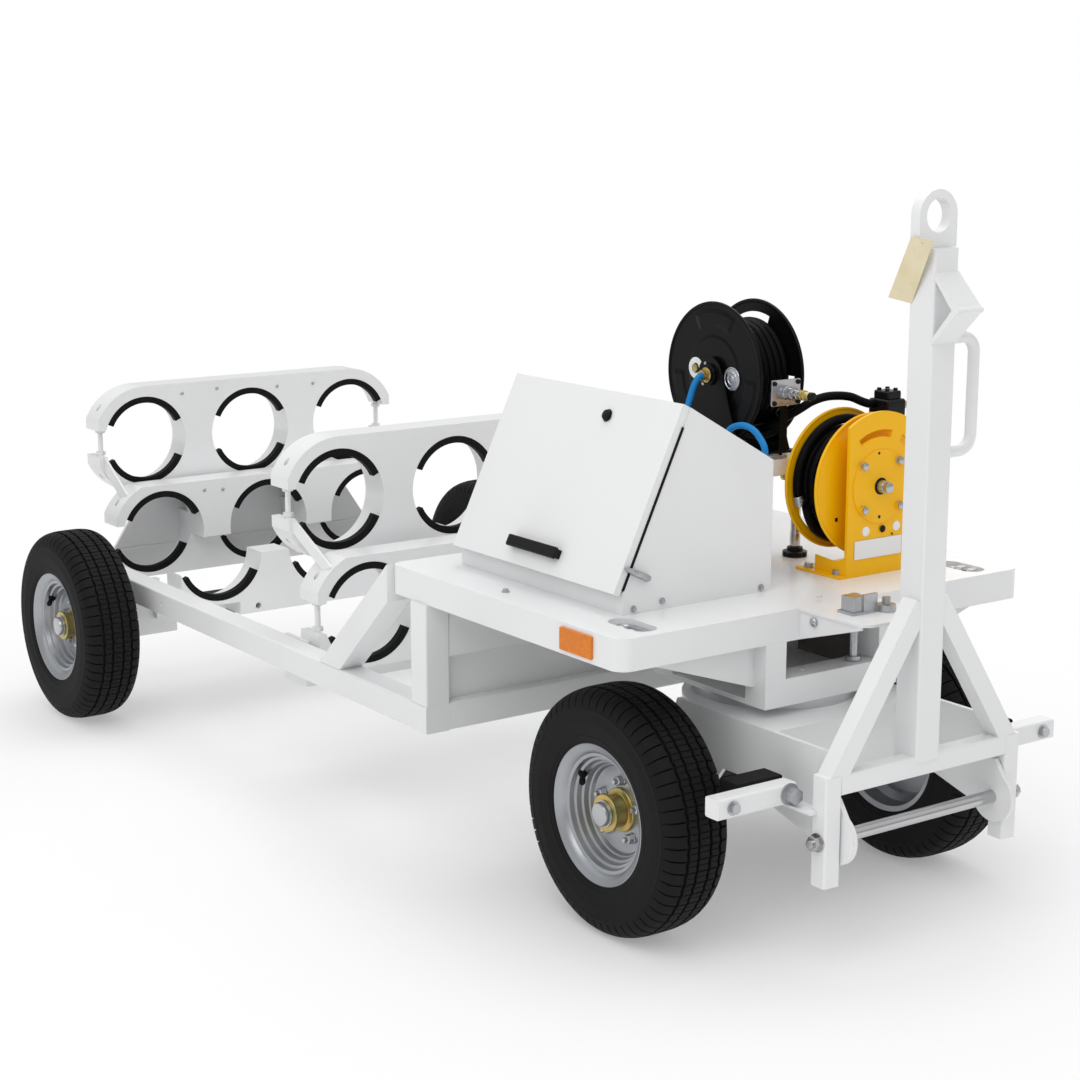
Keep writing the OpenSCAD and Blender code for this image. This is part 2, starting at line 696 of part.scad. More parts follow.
// Outline of a rack bar in YZ about the rings' height, between two heights
module rack_outline(z0, z1, slots = true) {
    difference() {
        intersection() {
            union() {
                square([2 * ring_pitch, 2 * bar_r], center = true);
                for (y = ring_y) translate([y, 0]) circle(bar_r);
            }
            translate([-rack_end, z0]) square([2 * rack_end, z1 - z0]);
        }
        for (y = ring_y) translate([y, 0]) circle(ring_r);
        if (slots) for (s = [-1, 1])
            translate([s * (ring_pitch + bar_r), 0]) square([2 * bar_r, slot_h], center = true);
    }
}
module rack_bar(front, depth, z, z0, z1) {
    difference() {
        translate([0, 0, z]) plate_x(-front - depth, depth) rack_outline(z0, z1);
        for (s = [-1, 1]) translate([-front - depth / 2, s * rod_y, z - bar_r])
            cylinder(h = 2 * bar_r, r = rod_d / 2 + soft);
    }
}
module rear_top_rack() {
    color(white) placed() {
        rack_bar(rear_top_x, bar_x, top_z, -bar_r, bar_r);
        end_plate(rear_saddle_x + saddle_x, rail_top);
    }
}
module end_plate(x, foot) {
    color(white) plate_x(-x - steer_t, steer_t) polygon([[-end_plate_y[0], foot],
        [end_plate_y[0], foot], [end_plate_y[0], rail_top], [end_plate_y[1], top_z - bar_r],
        [-end_plate_y[1], top_z - bar_r], [-end_plate_y[0], rail_top]]);
}
module rear_low_clamp() {
    color(white) placed() rack_bar(rear_clamp_x, bar_x, low_z, -27, low_top);
}
module rear_low_saddle() {
    color(white) placed() rack_bar(rear_saddle_x, saddle_x, low_z, -low_foot, slot_top);
}
module mid_saddle() {
    color(white) placed() difference() {
        union() {
            intersection() {
                translate([0, 0, low_z]) plate_x(-mid_saddle_x - bar_x, bar_x)
                    rack_outline(-low_foot, -7, false);
                translate([-mid_saddle_x - 2 * bar_x, 26 - rack_end, 0])
                    cube([3 * bar_x, 2 * (rack_end - 26), deck_z]);
            }
            translate([-mid_saddle_x - bar_x, -rack_end + 226, low_z - low_foot - u_bar])
                cube([bar_x, 2 * (rack_end - 226), 42]);
        }
        rod_along_x(-mid_saddle_x - 2 * bar_x, -mid_saddle_x + 1, -256, low_z - low_foot - 21, 20);
    }
}
module front_top_rack() {
    color(white) placed() {
        rack_bar(front_top_x, bar_x, top_z, -bar_r, bar_r);
        difference() {
            end_plate(front_low_x + bar_x + tube - steer_t, low_z - low_foot);
            for (y = ring_y) rod_along_x(-front_top_x - bar_x, -front_low_x, y, low_z, 2 * ring_r);
        }
    }
}
module front_low_rack() {
    color(white) placed() rack_bar(front_low_x, bar_x, low_z, -low_foot, low_top);
}
module strut(a, b, w, t) {
    d = b - a;
    translate(a) rotate([0, acos(d[2] / norm(d)), atan2(d[1], d[0])])
        translate([-w / 2, -t / 2, 0]) cube([w, t, norm(d)]);
}
module rack_braces() {
    color(white) placed() difference() {
        both_sides() {
            strut([-rear_top_x - 14, -532, 742], [-rear_clamp_x - 34, -497, 622], rack_brace_w, 10);
            strut([-front_top_x - 14, -532, 742], [-front_low_x - 20, -497, 625], rack_brace_w, 10);
        }
        for (p = [[rear_top_x, top_z], [rear_clamp_x, low_z], [front_top_x, top_z], [front_low_x, low_z]])
            translate([0, 0, p[1]]) plate_x(-p[0] - bar_x, bar_x) rack_outline(-bar_r, bar_r);
    }
}
module strips(front, z, up) {
    for (y = ring_y, s = up) translate([0, y, z]) plate_x(-front - strip_x, strip_x)
        arc_band(strip_in, strip_r, s * 90 - strip_a, s * 90 + strip_a);
}
module rack_strips() {
    color(dark) placed() {
        strips(rear_top_x, top_z, [-1, 1]);
        strips(rear_clamp_x, low_z, [1]);
        strips(rear_saddle_x, low_z, [-1]);
        strips(mid_saddle_x, low_z, [-1]);
        strips(front_top_x, top_z, [-1, 1]);
        strips(front_low_x, low_z, [-1, 1]);
    }
}
module clamp_bolts() {
    color(steel) placed() for (p = [[rear_top_x, top_z], [front_top_x, top_z], [front_low_x, low_z]])
        both_sides() translate([-p[0] - bar_x / 2, -rod_y, p[1]]) {
            translate([0, 0, -slot_top - 26]) cylinder(h = slot_h + 52, d = rod_d);
            for (z = [-slot_top, slot_top - nut_t]) translate([0, 0, z])
                cylinder(h = nut_t, d = 30, $fn = 6);
        }
}

// Along the door's slope: local X up the slope, local Y outward, drawn in YZ
module on_slope() {
    translate([0, box_y[0], plinth_z]) rotate([90, 0, 90])
        rotate(90 - door_lean) children();
}
module cabinet() {
    x0 = box_x[0];
    l = box_x[1] - x0;
    color(white) placed() difference() {
        plate_x(x0, l) polygon(cab);
        plate_x(x0 + sheet, l - 2 * sheet) polygon(inset(cab, sheet));
        translate([x0 + frame_w, 0, 0]) on_slope()
            translate([frame_w, -frame_w, 0]) cube([door_len - 2 * frame_w, 2 * frame_w, l - 2 * frame_w]);
    }
}
module door_seal() {
    x0 = box_x[0] + joins;
    l = box_x[1] - x0 - joins;
    color(dark) placed() translate([x0, 0, 0]) on_slope() difference() {
        translate([joins, 0, 0]) cube([door_len - 4, seal_t, l]);
        translate([seal_w, -1, seal_w]) cube([door_len - 4 - 2 * seal_w, seal_t + 2, l - 2 * seal_w]);
    }
}
module cabinet_door() {
    x0 = box_x[0];
    l = box_x[1] - x0;
    color(white) placed() translate([x0, 0, 0]) on_slope() {
        difference() {
            translate([-door_out, seal_t + soft, 0]) cube([door_len + door_out, door_t, l]);
            translate([sheet - door_out, seal_t + soft - 1, sheet])
                cube([door_len + door_out - 2 * sheet, door_t - sheet + 1, l - 2 * sheet]);
        }
        translate([door_len, seal_t + soft, frame_w]) cylinder(h = l - 2 * frame_w, r = hinge_r);
    }
}
module on_door() {
    placed() on_slope() translate([0, seal_t + soft + door_t, 0]) children();
}
module door_fittings() {
    door_button();
    s = (grip_z - plinth_z) / cos(door_lean);
    l = grip_x[1] - grip_x[0];
    w = grip_bar[0];
    foot = 30;
    color(dark) on_door() translate([s, 0, grip_x[0]]) {
        for (z = [2, l - foot - 2]) translate([3 - w / 2, 0, z]) cube([w - 6, grip_bar[2] + 1, foot]);
        translate([0, grip_bar[2], l / 2]) rotate([-90, 0, 0]) linear_extrude(grip_bar[1])
            round_sq(w, l, 4);
    }
}
module door_button() {
    s = (button_xz[1] - plinth_z) / cos(door_lean);
    color(dark) on_door() translate([s, 0, button_xz[0]]) rotate([-90, 0, 0]) {
        cylinder(h = 4, d = 30);
        translate([0, 0, 4]) cylinder(h = 6, d1 = 26, d2 = 24);
    }
}
module side_latch() {
    s = 46 / cos(door_lean);
    color(steel) placed() translate([box_x[1], 0, 0]) on_slope() {
        translate([s, -20, 0]) cylinder(h = 4, d = 42);
        translate([s - 8, -52, 4]) cube([16, 78, 8]);
        translate([s, -20, 0]) cylinder(h = 18, d = 14);
    }
}
module reel_table() {
    color(white) placed() {
        translate([shelf_x[0], shelf_y[0], shelf_z - 40])
            cube([shelf_x[1] - shelf_x[0], shelf_y[1] - shelf_y[0], 40]);
        translate([shelf_x[0] + 40, shelf_y[0] + 10, deck_z])
            cube([180, shelf_y[1] - shelf_y[0] - 60, shelf_z - 40 - deck_z]);
    }
}
module black_reel_stand() {
    x = breel[0];
    z = breel[1];
    near = bflange_y[0] - 14;
    far = bflange_y[1] + 14;
    color(dark) placed() {
        for (y = [near - sheet, far]) difference() {
            plate_y(y, sheet + 1) {
                circle_at(x, z, 44);
                polygon([[x - 40, z + 18], [x - 120, shelf_z], [x + 120, shelf_z], [x + 40, z + 18]]);
            }
            rod_along_y(y - 1, y + 2 * sheet, x, z, 40 + 2 * run);
        }
        translate([x - 130, near - 16, shelf_z]) cube([260, far - near + 32, 6]);
        translate([-152, 95, shelf_z]) cube([6, 95, z - shelf_z]);
    }
}
module circle_at(x, y, r) { translate([x, y]) circle(r); }
module black_reel_drum() {
    t = sheet;
    color(dark) placed() translate([breel[0], 0, breel[1]]) rotate([90, 0, 0]) {
        for (y = bflange_y) translate([0, 0, -y - (y > bmid_y ? t : 0)]) difference() {
            union() {
                cylinder(h = t, r = breel_r - 4);
                rotate_extrude() translate([breel_r - 5, t / 2]) circle(d = 10);
            }
            if (y > bmid_y) translate([0, 0, -1]) linear_extrude(t + 2)
                for (i = [0:3]) rotate(i * 90 + 45) arc_band(ywin[0] + 3, ywin[1] + 8, -30, 30);
        }
        translate([0, 0, -bflange_y[1] + joins]) cylinder(h = bflange_y[1] - bflange_y[0] - 2 * joins, r = bdrum_r);
        translate([0, 0, -bflange_y[1] - 26]) cylinder(h = bflange_y[1] - bflange_y[0] + 30 + 26, d = 40);
    }
    color(gold) placed() {
        rod_along_y(bflange_y[0] - 52, bflange_y[0] - 30, breel[0], breel[1], 30);
        rod_along_y(bflange_y[0] - 46, bflange_y[0] - 38, breel[0], breel[1], 38);
    }
    color(steel) placed() {
        rod_along_y(bflange_y[0] - 4, bflange_y[0] - 1, breel[0] - 68, breel[1] + 9, 34);
        rod_along_y(bflange_y[0] - 5, bflange_y[0] - 1, breel[0] + 72, breel[1] - 4, 38);
    }
}
module black_winding() {
    w = bflange_y[1] - bflange_y[0] - sheet;
    p = w / turns;
    r0 = bdrum_r + soft;
    color(dark) placed() translate([breel[0], bflange_y[0] + sheet / 2, breel[1]]) rotate([-90, 0, 0])
        rotate_extrude() {
            translate([r0, 1]) square([hose_r, w - 2]);
            for (i = [0:turns - 1]) translate([r0 + p / 2, p * (i + 0.5)]) circle(d = p - 0.4);
        }
}
module outlet_plate() {
    y = 142;
    z = 1193;
    color(steel) placed() {
        difference() {
            translate([-146, y - 46, z - 32]) cube([5, 92, 64]);
            for (a = [-38, 38], b = [-24, 24]) rod_along_x(-147, -140, y + a, z + b, 7);
        }
        rod_along_x(-141, -118, y, z, 34);
        rod_along_x(-118, -96, y, z, 24);
    }
    color(gold) placed() rod_along_x(-96, -76, y, z, 20);
}
module hose_run() { color(dark) placed() hose(run_path, hose_d - 1, 10); }
module blue_hoses() {
    color(blue) placed() { hose(blue_a, blue_d, 10); hose(blue_b, blue_d, 10); }
}
module hose_stop() {
    color(dark) placed() translate(stop_xyz) {
        translate([-34, -8, -36]) cube([68, 62, 44]);
        translate([-26, 0, 8]) cube([52, 46, 20]);
        for (x = [-14, 14]) translate([x, 8, 28]) cylinder(h = 6, d = 12);
    }
    color(gold) placed() translate(stop_xyz) {
        rod_along_y(54, 78, 0, -12, 26);
        rod_along_y(78, 86, 0, -12, 18);
    }
}
module yellow_reel_stand() {
    yellow_reel_shaft();
    y = yreel[0];
    x0 = ybase_x[0];
    color(yellow) placed() difference() {
        union() {
            translate([x0, ybase_y[0], deck_z])
                cube([ybase_x[1] - x0, ybase_y[1] - ybase_y[0], 6]);
            plate_x(yarm_x, arm_t) {
                translate([y - yarm_w, deck_z]) square([2 * yarm_w, yreel[1] - deck_z]);
                intersection() {
                    circle_at(y, yreel[1], yreel_r + 7);
                    translate([y - yarm_w, yreel[1] - 1]) square([2 * yarm_w, 2 * yreel_r]);
                }
            }
            rod_along_x(yarm_x, ybase_x[1] + sheet, y, yreel[1], 180);
            plate_y(y - yarm_w, sheet) polygon([[x0 + 46, deck_z + 5], [yarm_x + 1, deck_z + 5],
                [yarm_x + 1, yreel[1] - yreel_r + 8], [yarm_x - 30, yreel[1] - yreel_r - 6],
                [x0 + 46, deck_z + 42]]);
            plate_y(y + yarm_w - sheet, sheet) polygon([[x0 + 46, deck_z + 5], [yarm_x + 1, deck_z + 5],
                [yarm_x + 1, yreel[1] - yreel_r + 8], [yarm_x - 30, yreel[1] - yreel_r - 6],
                [x0 + 46, deck_z + 42]]);
        }
        rod_along_x(x0, ybase_x[1] + 9, y, yreel[1], 26);
        plate_x(yarm_x - 1, arm_t + 9) translate([y, yreel[1]]) {
            arc_band(120, 138, 75, 122);
            arc_band(120, 138, 25, 60);
        }
    }
    color(steel) placed() {
        for (a = [-59.5, 59.5], b = [-54.5, 54.5])
            rod_along_x(ybase_x[1] + sheet, ybase_x[1] + sheet + 7, y + a, yreel[1] + b, 20);
        for (x = [x0 + 22, yarm_x - 26], a = [ybase_y[0] + 24, ybase_y[1] - 24])
            translate([x, a, deck_z + 6]) cylinder(h = 11, d = 22, $fn = 6);
        translate([ybase_x[1], y - 80, 801]) cube([1.5, 156, 46]);
    }
}
module yellow_reel_drum() {
    color(yellow) placed() translate([0, yreel[0], yreel[1]]) rotate([0, 90, 0]) difference() {
        union() {
            for (x = yflange_x) translate([0, 0, x - (x > 0 ? sheet : 0)]) union() {
                cylinder(h = sheet, r = yreel_r - 3);
                rotate_extrude() translate([yreel_r - 4, sheet / 2]) circle(d = 8);
            }
            translate([0, 0, yflange_x[1]]) cylinder(h = yflange_x[0] - yflange_x[1], r = 105);
        }
        translate([0, 0, yflange_x[1] - 9]) cylinder(h = 150, r = 12.5 + run);
        translate([0, 0, yflange_x[1] - 9]) linear_extrude(9 + 2 * sheet)
            for (a = [70, 190, 310]) rotate(a) arc_band(ywin[0], ywin[1], -28, 28);
    }
}
module yellow_reel_shaft() {
    color(steel) placed() {
        rod_along_x(yflange_x[1] - 14, ybase_x[1] + 18, yreel[0], yreel[1], 25);
        rod_along_x(ybase_x[1] + 18, ybase_x[1] + 28, yreel[0], yreel[1], 20);
    }
}
module yellow_winding() {
    x0 = yflange_x[1] + sheet + 1;
    w = yflange_x[0] - yflange_x[1] - 2 * sheet - 2;
    r0 = 105 + soft;
    n = 4;
    p = w / n;
    color(dark) placed() translate([x0, yreel[0], yreel[1]]) rotate([0, 90, 0]) rotate_extrude() {
        translate([r0, 1]) square([hose_r, w - 2]);
        translate([r0 + hose_r, 2]) square([hose_r, 2 * p - 4]);
        for (i = [0:n - 1]) translate([r0 + hose_r, p * (i + 0.5)]) circle(d = hose_d);
        for (i = [0:1]) translate([r0 + hose_r + 21, p * (i + 0.5)]) circle(d = hose_d);
    }
}
module valve_column() {
    x = valve_xy[0];
    y = valve_xy[1];
    color(steel) placed() {
        translate([x, y, deck_z + 24]) cylinder(h = 116, d = 26);
        translate([x, y, deck_z + 140]) cylinder(h = 22, d = 20);
    }
    color(dark) placed() {
        translate([x, y, deck_z]) cylinder(h = 14, d = 64);
        translate([x, y, deck_z + 14]) cylinder(h = 10, d = 40);
    }
    color(gold) placed() translate([x, y, deck_z + 162]) {
        cylinder(h = 60, d = 34, $fn = 6);
        translate([-50, 0, 36]) rotate([0, 90, 0]) cylinder(h = 60, d = 20);
    }
}

module steering_frame() {
    arm = [[steer_front, pivot_z + 15], [steer_front, steer_z], [455, steer_z], [455, 412],
        [492, 412], [pivot_x + lug_r * cos(12), pivot_z + lug_r * sin(12)],
        [pivot_x, pivot_z - lug_r], [pivot_x - lug_r * 0.9, pivot_z - lug_r * 0.44]];
    t = steer_t;
    color(white) placed() difference() {
        union() {
            plate_z(steer_z - t, t) {
                intersection() {
                    circle_at(steer_mid, 0, steer_y);
                    translate([-2 * steer_y, -steer_y]) square([2 * steer_y + steer_mid, 2 * steer_y]);
                }
                translate([steer_mid, -steer_y]) square([steer_front - steer_mid, 2 * steer_y]);
            }
            both_sides() {
                plate_y(-steer_y, t) {
                    polygon([[-60, steer_z], [-90, side_z + 60], [-axle_side, tyre_r + axle_side / 2],
                        [axle_side, tyre_r + axle_side / 2], [110, side_z], [steer_front, side_z],
                        [steer_front, steer_z]]);
                    polygon(arm);
                    circle_at(pivot_x, pivot_z, lug_r);
                }
            }
            translate([steer_front - t, -steer_y, side_z]) cube([t, 2 * steer_y, steer_z - side_z]);
            translate([-130, 0, 0]) plate_x(0, 220) translate([0, (steer_z + side_z) / 2])
                square([2 * t, steer_z - side_z], center = true);
        }
        for (s = [-1, 1]) rod_along_y(s * steer_y - 2 * t, s * steer_y + 2 * t, pivot_x, pivot_z, pivot_d);
        translate([0, 0, steer_z - lip_h]) cylinder(h = 2 * lip_h, r = king_d / 2 + run);
        translate([-54, -189, steer_z - 2 * t]) cylinder(h = 3 * t, d = 12);
    }
}
module front_axle() {
    w = front_y + hub_in;
    color(dark) placed() {
        bar_y(-w + 1, w - 1, 0, tyre_r, axle_side, axle_side, tube_r);
        both_sides() rod_along_y(-front_y - stub_in, -w + 2, 0, tyre_r, stub_d);
    }
}
module tow_bar() {
    x = pivot_x;
    pz = 456;
    base_z = leg_top - leg / 2;
    a = [x, -40, brace_top];
    color(white) placed() difference() {
        union() {
            both_sides() {
                bar_z(x, -leg_y - leg / 2, leg_z, leg_top, leg, leg, tube_r);
                plate_y_bar([-leg_y - leg / 2 + 4, base_z], [-post / 2 + 8, brace_top + 40]);
                bar_y(-stub_end, -leg_y - leg - 3, stub_x + leg / 2, 417, leg, leg, tube_r);
                translate([stub_x + 2 * rivet, -leg_y - leg - 20, 384]) {
                    cube([leg + 6 * rivet, 40, 7]);
                    cube([leg - 3 * rivet, 40, 14]);
                }
            }
            bar_y(-leg_y - 1, leg_y + 1, x, base_z, leg, leg, tube_r);
            bar_z(post_mid, 0, pz, post_top, post, post, tube_r);
            strike();
            handle();
        }
        for (s = [-1, 1]) rod_along_y(s * (leg_y + leg / 2) - leg, s * (leg_y + leg / 2) + leg,
            x, pivot_z, pivot_end + 2 * run);
    }
}
// A square tube in the plane of the legs, from one point in YZ to another
module plate_y_bar(p, q) {
    d = q - p;
    translate([pivot_x - leg / 2 + 1, p[0], p[1]]) rotate([-atan2(d[0], d[1]), 0, 0])
        translate([0, -leg / 2, 0]) cube([leg - 2, leg, norm(d)]);
}
module strike() {
    z = (strike_z[0] + strike_z[1]) / 2;
    t = 10;
    tip = post_front + strike_x;
    plate_y(-post / 2, post) {
        polygon([[post_front - 1, strike_z[0]], [post_front - 1, strike_z[0] - 1.4 * t],
            [tip - 2.4 * t, z], [post_front - 1, strike_z[1] + 1.4 * t], [post_front - 1, strike_z[1]],
            [tip - t, z - 0.8 * t], [tip - 0.3 * t, z - 0.5 * t], [tip, z], [tip - 0.3 * t, z + 0.5 * t],
            [tip - t, z + 0.8 * t]]);
    }
}
module handle() {
    r = 36;
    y = post / 2 + handle_y;
    z0 = handle_z[1];
    z1 = handle_z[0];
    x = post_mid;
    translate([x, y, z0 + r]) cylinder(h = z1 - z0 - 2 * r, d = handle_d);
    for (z = handle_z) rod_along_y(post / 2 - 1, y - r, x, z, handle_d);
    for (e = [[z0 + r, -90], [z1 - r, 0]]) translate([x, y - r, e[0]]) rotate([90, 0, 90])
        rotate(e[1]) rotate_extrude(angle = 90) translate([r, 0]) circle(d = handle_d);
}
module tow_eye() {
    color(white) placed() plate_x(eye_x, eye_t) difference() {
        union() {
            circle_at(0, eye_z, eye_r[0]);
            translate([-eye_r[0], post_top]) square([2 * eye_r[0], eye_z - post_top]);
        }
        circle_at(0, eye_z, eye_r[1]);
    }
}
module brake_pads() {
    color(dark) placed() both_sides() translate([stub_x - pad_size[0], -pad_y[1], 380])
        cube([pad_size[0], pad_y[1] - pad_y[0], pad_size[1]]);
}
module stub_bolts() {
    x = stub_x + leg;
    color(steel) placed() both_sides() for (b = [[481, 32, 10], [322, 50, 22]])
        translate([0, -b[0], 417]) {
            rod_along_x(x, x + 3, 0, 0, b[1]);
            translate([x + 3, 0, 0]) rotate([0, 90, 0])
                cylinder(h = b[2], d = b[1] * 0.76, $fn = 6);
        }
}
module pivot_rod() {
    e = leg_y + leg;
    color(steel) placed() {
        rod_along_y(-leg_y + 1, leg_y - 1, pivot_x, pivot_z, pivot_d);
        rod_along_y(-e - 26, e + 26, pivot_x, pivot_z, pivot_end);
        both_sides() {
            rod_along_y(-e - 3 - soft, -e - soft, pivot_x, pivot_z, 42);
            translate([pivot_x, -e - 3 - soft, pivot_z]) rotate([90, 0, 0])
                cylinder(h = 16, d = 34, $fn = 6);
        }
    }
}
module paper_tag() {
    color(card) placed() translate([0, -post / 2 - soft, tag_z]) rotate([tag_lean, 0, 0])
        plate_y(-1, 1) difference() {
            polygon([[tag_size[0] + 311, 6], [tag_size[0] + 380, -2],
                [tag_size[0] + 461, tag_size[1] - 7], [tag_size[0] + 397, tag_size[1]]]);
            circle_at(tag_size[0] + 428, tag_size[1] - 12, 3);
        }
}

module rear_right_tyre() { wheel_place(-wheelbase, -rear_y) tyre(); }
module rear_right_rim() { wheel_place(-wheelbase, -rear_y) rim(); }
module rear_right_hub() { wheel_place(-wheelbase, -rear_y) hub(); }
module rear_left_tyre() { wheel_place(-wheelbase, rear_y) tyre(); }
module rear_left_rim() { wheel_place(-wheelbase, rear_y) rim(); }
module rear_left_hub() { wheel_place(-wheelbase, rear_y) hub(); }
module front_right_tyre() { wheel_place(0, -front_y) tyre(); }
module front_right_rim() { wheel_place(0, -front_y) rim(); }
module front_right_hub() { wheel_place(0, -front_y) hub(); }
module front_left_tyre() { wheel_place(0, front_y) tyre(); }
module front_left_rim() { wheel_place(0, front_y) rim(); }
module front_left_hub() { wheel_place(0, front_y) hub(); }

side_rails();
cross_members();
rear_axle();
posts_and_braces();
bulkhead();
neck_frame();
deck();
reflectors();
lift_ring_right();
lift_ring_left();
turntable_upper();
turntable_lower();
lock_pin();
tow_catch();
rear_top_rack();
rear_low_clamp();
rear_low_saddle();
mid_saddle();
front_top_rack();
front_low_rack();
rack_braces();
rack_strips();
clamp_bolts();
cabinet();
cabinet_door();
door_seal();
door_fittings();
side_latch();
reel_table();
black_reel_stand();
black_reel_drum();
black_winding();
outlet_plate();
hose_run();
hose_stop();
blue_hoses();
yellow_reel_stand();
yellow_reel_drum();
yellow_winding();
valve_column();
steering_frame();
front_axle();
tow_bar();
tow_eye();
brake_pads();
stub_bolts();
pivot_rod();
paper_tag();
rear_right_tyre();
rear_right_rim();
rear_right_hub();
rear_left_tyre();
rear_left_rim();
rear_left_hub();
front_right_tyre();
front_right_rim();
front_right_hub();
front_left_tyre();
front_left_rim();
front_left_hub();
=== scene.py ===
"""Dresses the gas cylinder cart: its tyres, hoses, reels, small metalwork, finishes and stage."""

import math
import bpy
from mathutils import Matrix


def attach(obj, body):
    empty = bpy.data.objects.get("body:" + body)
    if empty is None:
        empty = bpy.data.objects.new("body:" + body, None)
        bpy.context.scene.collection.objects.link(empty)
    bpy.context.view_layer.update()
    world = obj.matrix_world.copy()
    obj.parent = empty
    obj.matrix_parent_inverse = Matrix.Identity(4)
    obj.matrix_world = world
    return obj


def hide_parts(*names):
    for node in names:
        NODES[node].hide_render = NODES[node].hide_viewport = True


bl_info = {
    "name": "Gas cylinder cart",
    "version": (1, 0, 0),
    "blender": (4, 5, 0),
    "location": "3D View > Sidebar > Cart",
    "description": "Builds the tyres, hoses, reel windings and finishes of a gas cylinder cart",
    "category": "Object",
}

import bpy
import numpy as np

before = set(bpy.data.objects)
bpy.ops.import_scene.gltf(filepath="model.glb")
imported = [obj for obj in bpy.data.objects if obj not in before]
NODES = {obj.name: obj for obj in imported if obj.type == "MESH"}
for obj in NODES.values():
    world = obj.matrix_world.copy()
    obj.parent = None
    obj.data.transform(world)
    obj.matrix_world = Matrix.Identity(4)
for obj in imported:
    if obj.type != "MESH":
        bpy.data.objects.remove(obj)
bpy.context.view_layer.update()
# Metres from the frame's middle to the front axle
AHEAD = 1.091
# Each wheel's name, its axle along X, its middle along Y and which way its outer face looks
WHEELS = [("rear_right", -1.279, -0.767, -1), ("rear_left", -1.279, 0.767, 1),
          ("front_right", 1.091, -0.451, -1), ("front_left", 1.091, 0.451, 1)]
FORE, LEFT, UP = np.eye(3)


# Meshes from arrays
class Shell:
    """Gathers closed grids of points, in metres, into one mesh."""

    def __init__(self):
        self.points, self.faces, self.count = [], [], 0

    def rings(self, p, wrap=False):
        """p[i, j] is point j of ring i. Quads join each ring to the next. One face fills each end, unless
        the rings wrap round. A shell whose volume is negative is turned over."""
        n, m = p.shape[:2]
        i, j = np.meshgrid(np.arange(n if wrap else n - 1), np.arange(m), indexing="ij")
        a, b, jn = i * m, ((i + 1) % n) * m, (j + 1) % m
        quads = np.stack([a + j, a + jn, b + jn, b + j], -1).reshape(-1, 4)
        flat = p.reshape(-1, 3)
        mid = flat.mean(0)
        q = flat[quads] - mid
        volume = np.einsum("ij,ij->", np.cross(q[:, 0], q[:, 1]), q[:, 2])
        volume += np.einsum("ij,ij->", np.cross(q[:, 0], q[:, 2]), q[:, 3])
        ends = [] if wrap else [np.arange(m)[::-1], (n - 1) * m + np.arange(m)]
        for end in ends:
            e = flat[end] - mid
            volume += np.einsum("ij,ij->", np.cross(e[0] + 0 * e[1:-1], e[1:-1]), e[2:])
        step = -1 if volume < 0 else 1
        self.faces += [(f[::step] + self.count).tolist() for f in [*quads, *ends]]
        self.points.append(flat)
        self.count += len(flat)
        return self

    def lathe(self, profile, centre, axis, steps=96, wrap=False):
        """Adds a surface of revolution, its profile in millimetres."""
        return self.rings(turned(np.array(profile) / 1000, centre, axis, steps), wrap)

    def slab(self, width, height, corner, origin, across, up, depth, edge=1):
        """Adds a plate with round corners, its sizes in millimetres."""
        outline = soft_box(width, height, corner) / 1000
        return self.rings(prism(outline, origin, across, up, depth / 1000, edge / 1000))

    def make(self, name, body, slot, kind, instead=None, sharp=40.0):
        """Puts the gathered grids into one object that rides on a body and has the finish called kind.
        It takes the place of the CAD node instead, if one is given. Edges over sharp degrees stay sharp."""
        mesh = bpy.data.meshes.new(name)
        mesh.from_pydata(np.concatenate(self.points).tolist(), [], self.faces)
        mesh.polygons.foreach_set("use_smooth", np.ones(len(mesh.polygons), bool))
        mesh.set_sharp_from_angle(angle=math.radians(sharp))
        mesh.materials.append(finish_of(kind))
        piece = bpy.data.objects.new(name, mesh)
        bpy.context.scene.collection.objects.link(piece)
        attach(piece, body)
        if instead:
            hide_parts(instead)


def unit(v):
    """v over its own length, along the last axis."""
    return v / np.linalg.norm(v, axis=-1, keepdims=True)


def eased(v, low, high):
    """0 below low, 1 above high, and a smooth cubic step between them."""
    t = np.clip((v - low) / (high - low), 0, 1)
    return t * t * (3 - 2 * t)


def turned(profile, centre, axis, steps=96):
    """Surface of revolution. Each row of the profile is a distance along the axis and a radius."""
    axis = unit(np.array(axis, float))
    side = unit(np.cross(axis, [0.3, 0.5, 0.8]))
    other = np.cross(axis, side)
    t = np.linspace(0, 2 * np.pi, steps, endpoint=False)
    around = np.cos(t)[:, None] * side + np.sin(t)[:, None] * other
    prof = np.array(profile, float)
    return np.array(centre, float) + prof[:, 0, None, None] * axis + prof[:, 1, None, None] * around


def smooth_path(points, steps):
    """A path through the points, each stretch a cubic whose slopes come from the points on both sides."""
    p = np.array(points, float)
    before, after = np.vstack([2 * p[0] - p[1], p[:-1]]), np.vstack([p[1:], 2 * p[-1] - p[-2]])
    slope = (after - before) / 2
    t = np.linspace(0, 1, steps, endpoint=False)[None, :, None]
    a, b, s, e = p[:-1, None], p[1:, None], slope[:-1, None], slope[1:, None]
    curve = ((2 * t**3 - 3 * t**2 + 1) * a + (t**3 - 2 * t**2 + t) * s
             + (3 * t**2 - 2 * t**3) * b + (t**3 - t**2) * e)
    return np.vstack([curve.reshape(-1, 3), p[-1]])


def tube(path, radius, sides=16, across=(0.31, 0.2, 0.93)):
    """Round tube: a circle stood square to the path at each point, of one radius or one per point."""
    p = np.array(path, float)
    along = unit(np.gradient(p, axis=0))
    side = unit(np.cross(along, across))
    other = np.cross(along, side)
    t = np.linspace(0, 2 * np.pi, sides, endpoint=False)
    r = np.broadcast_to(radius, len(p))[:, None, None]
    return p[:, None] + r * (np.cos(t)[:, None] * side[:, None] + np.sin(t)[:, None] * other[:, None])


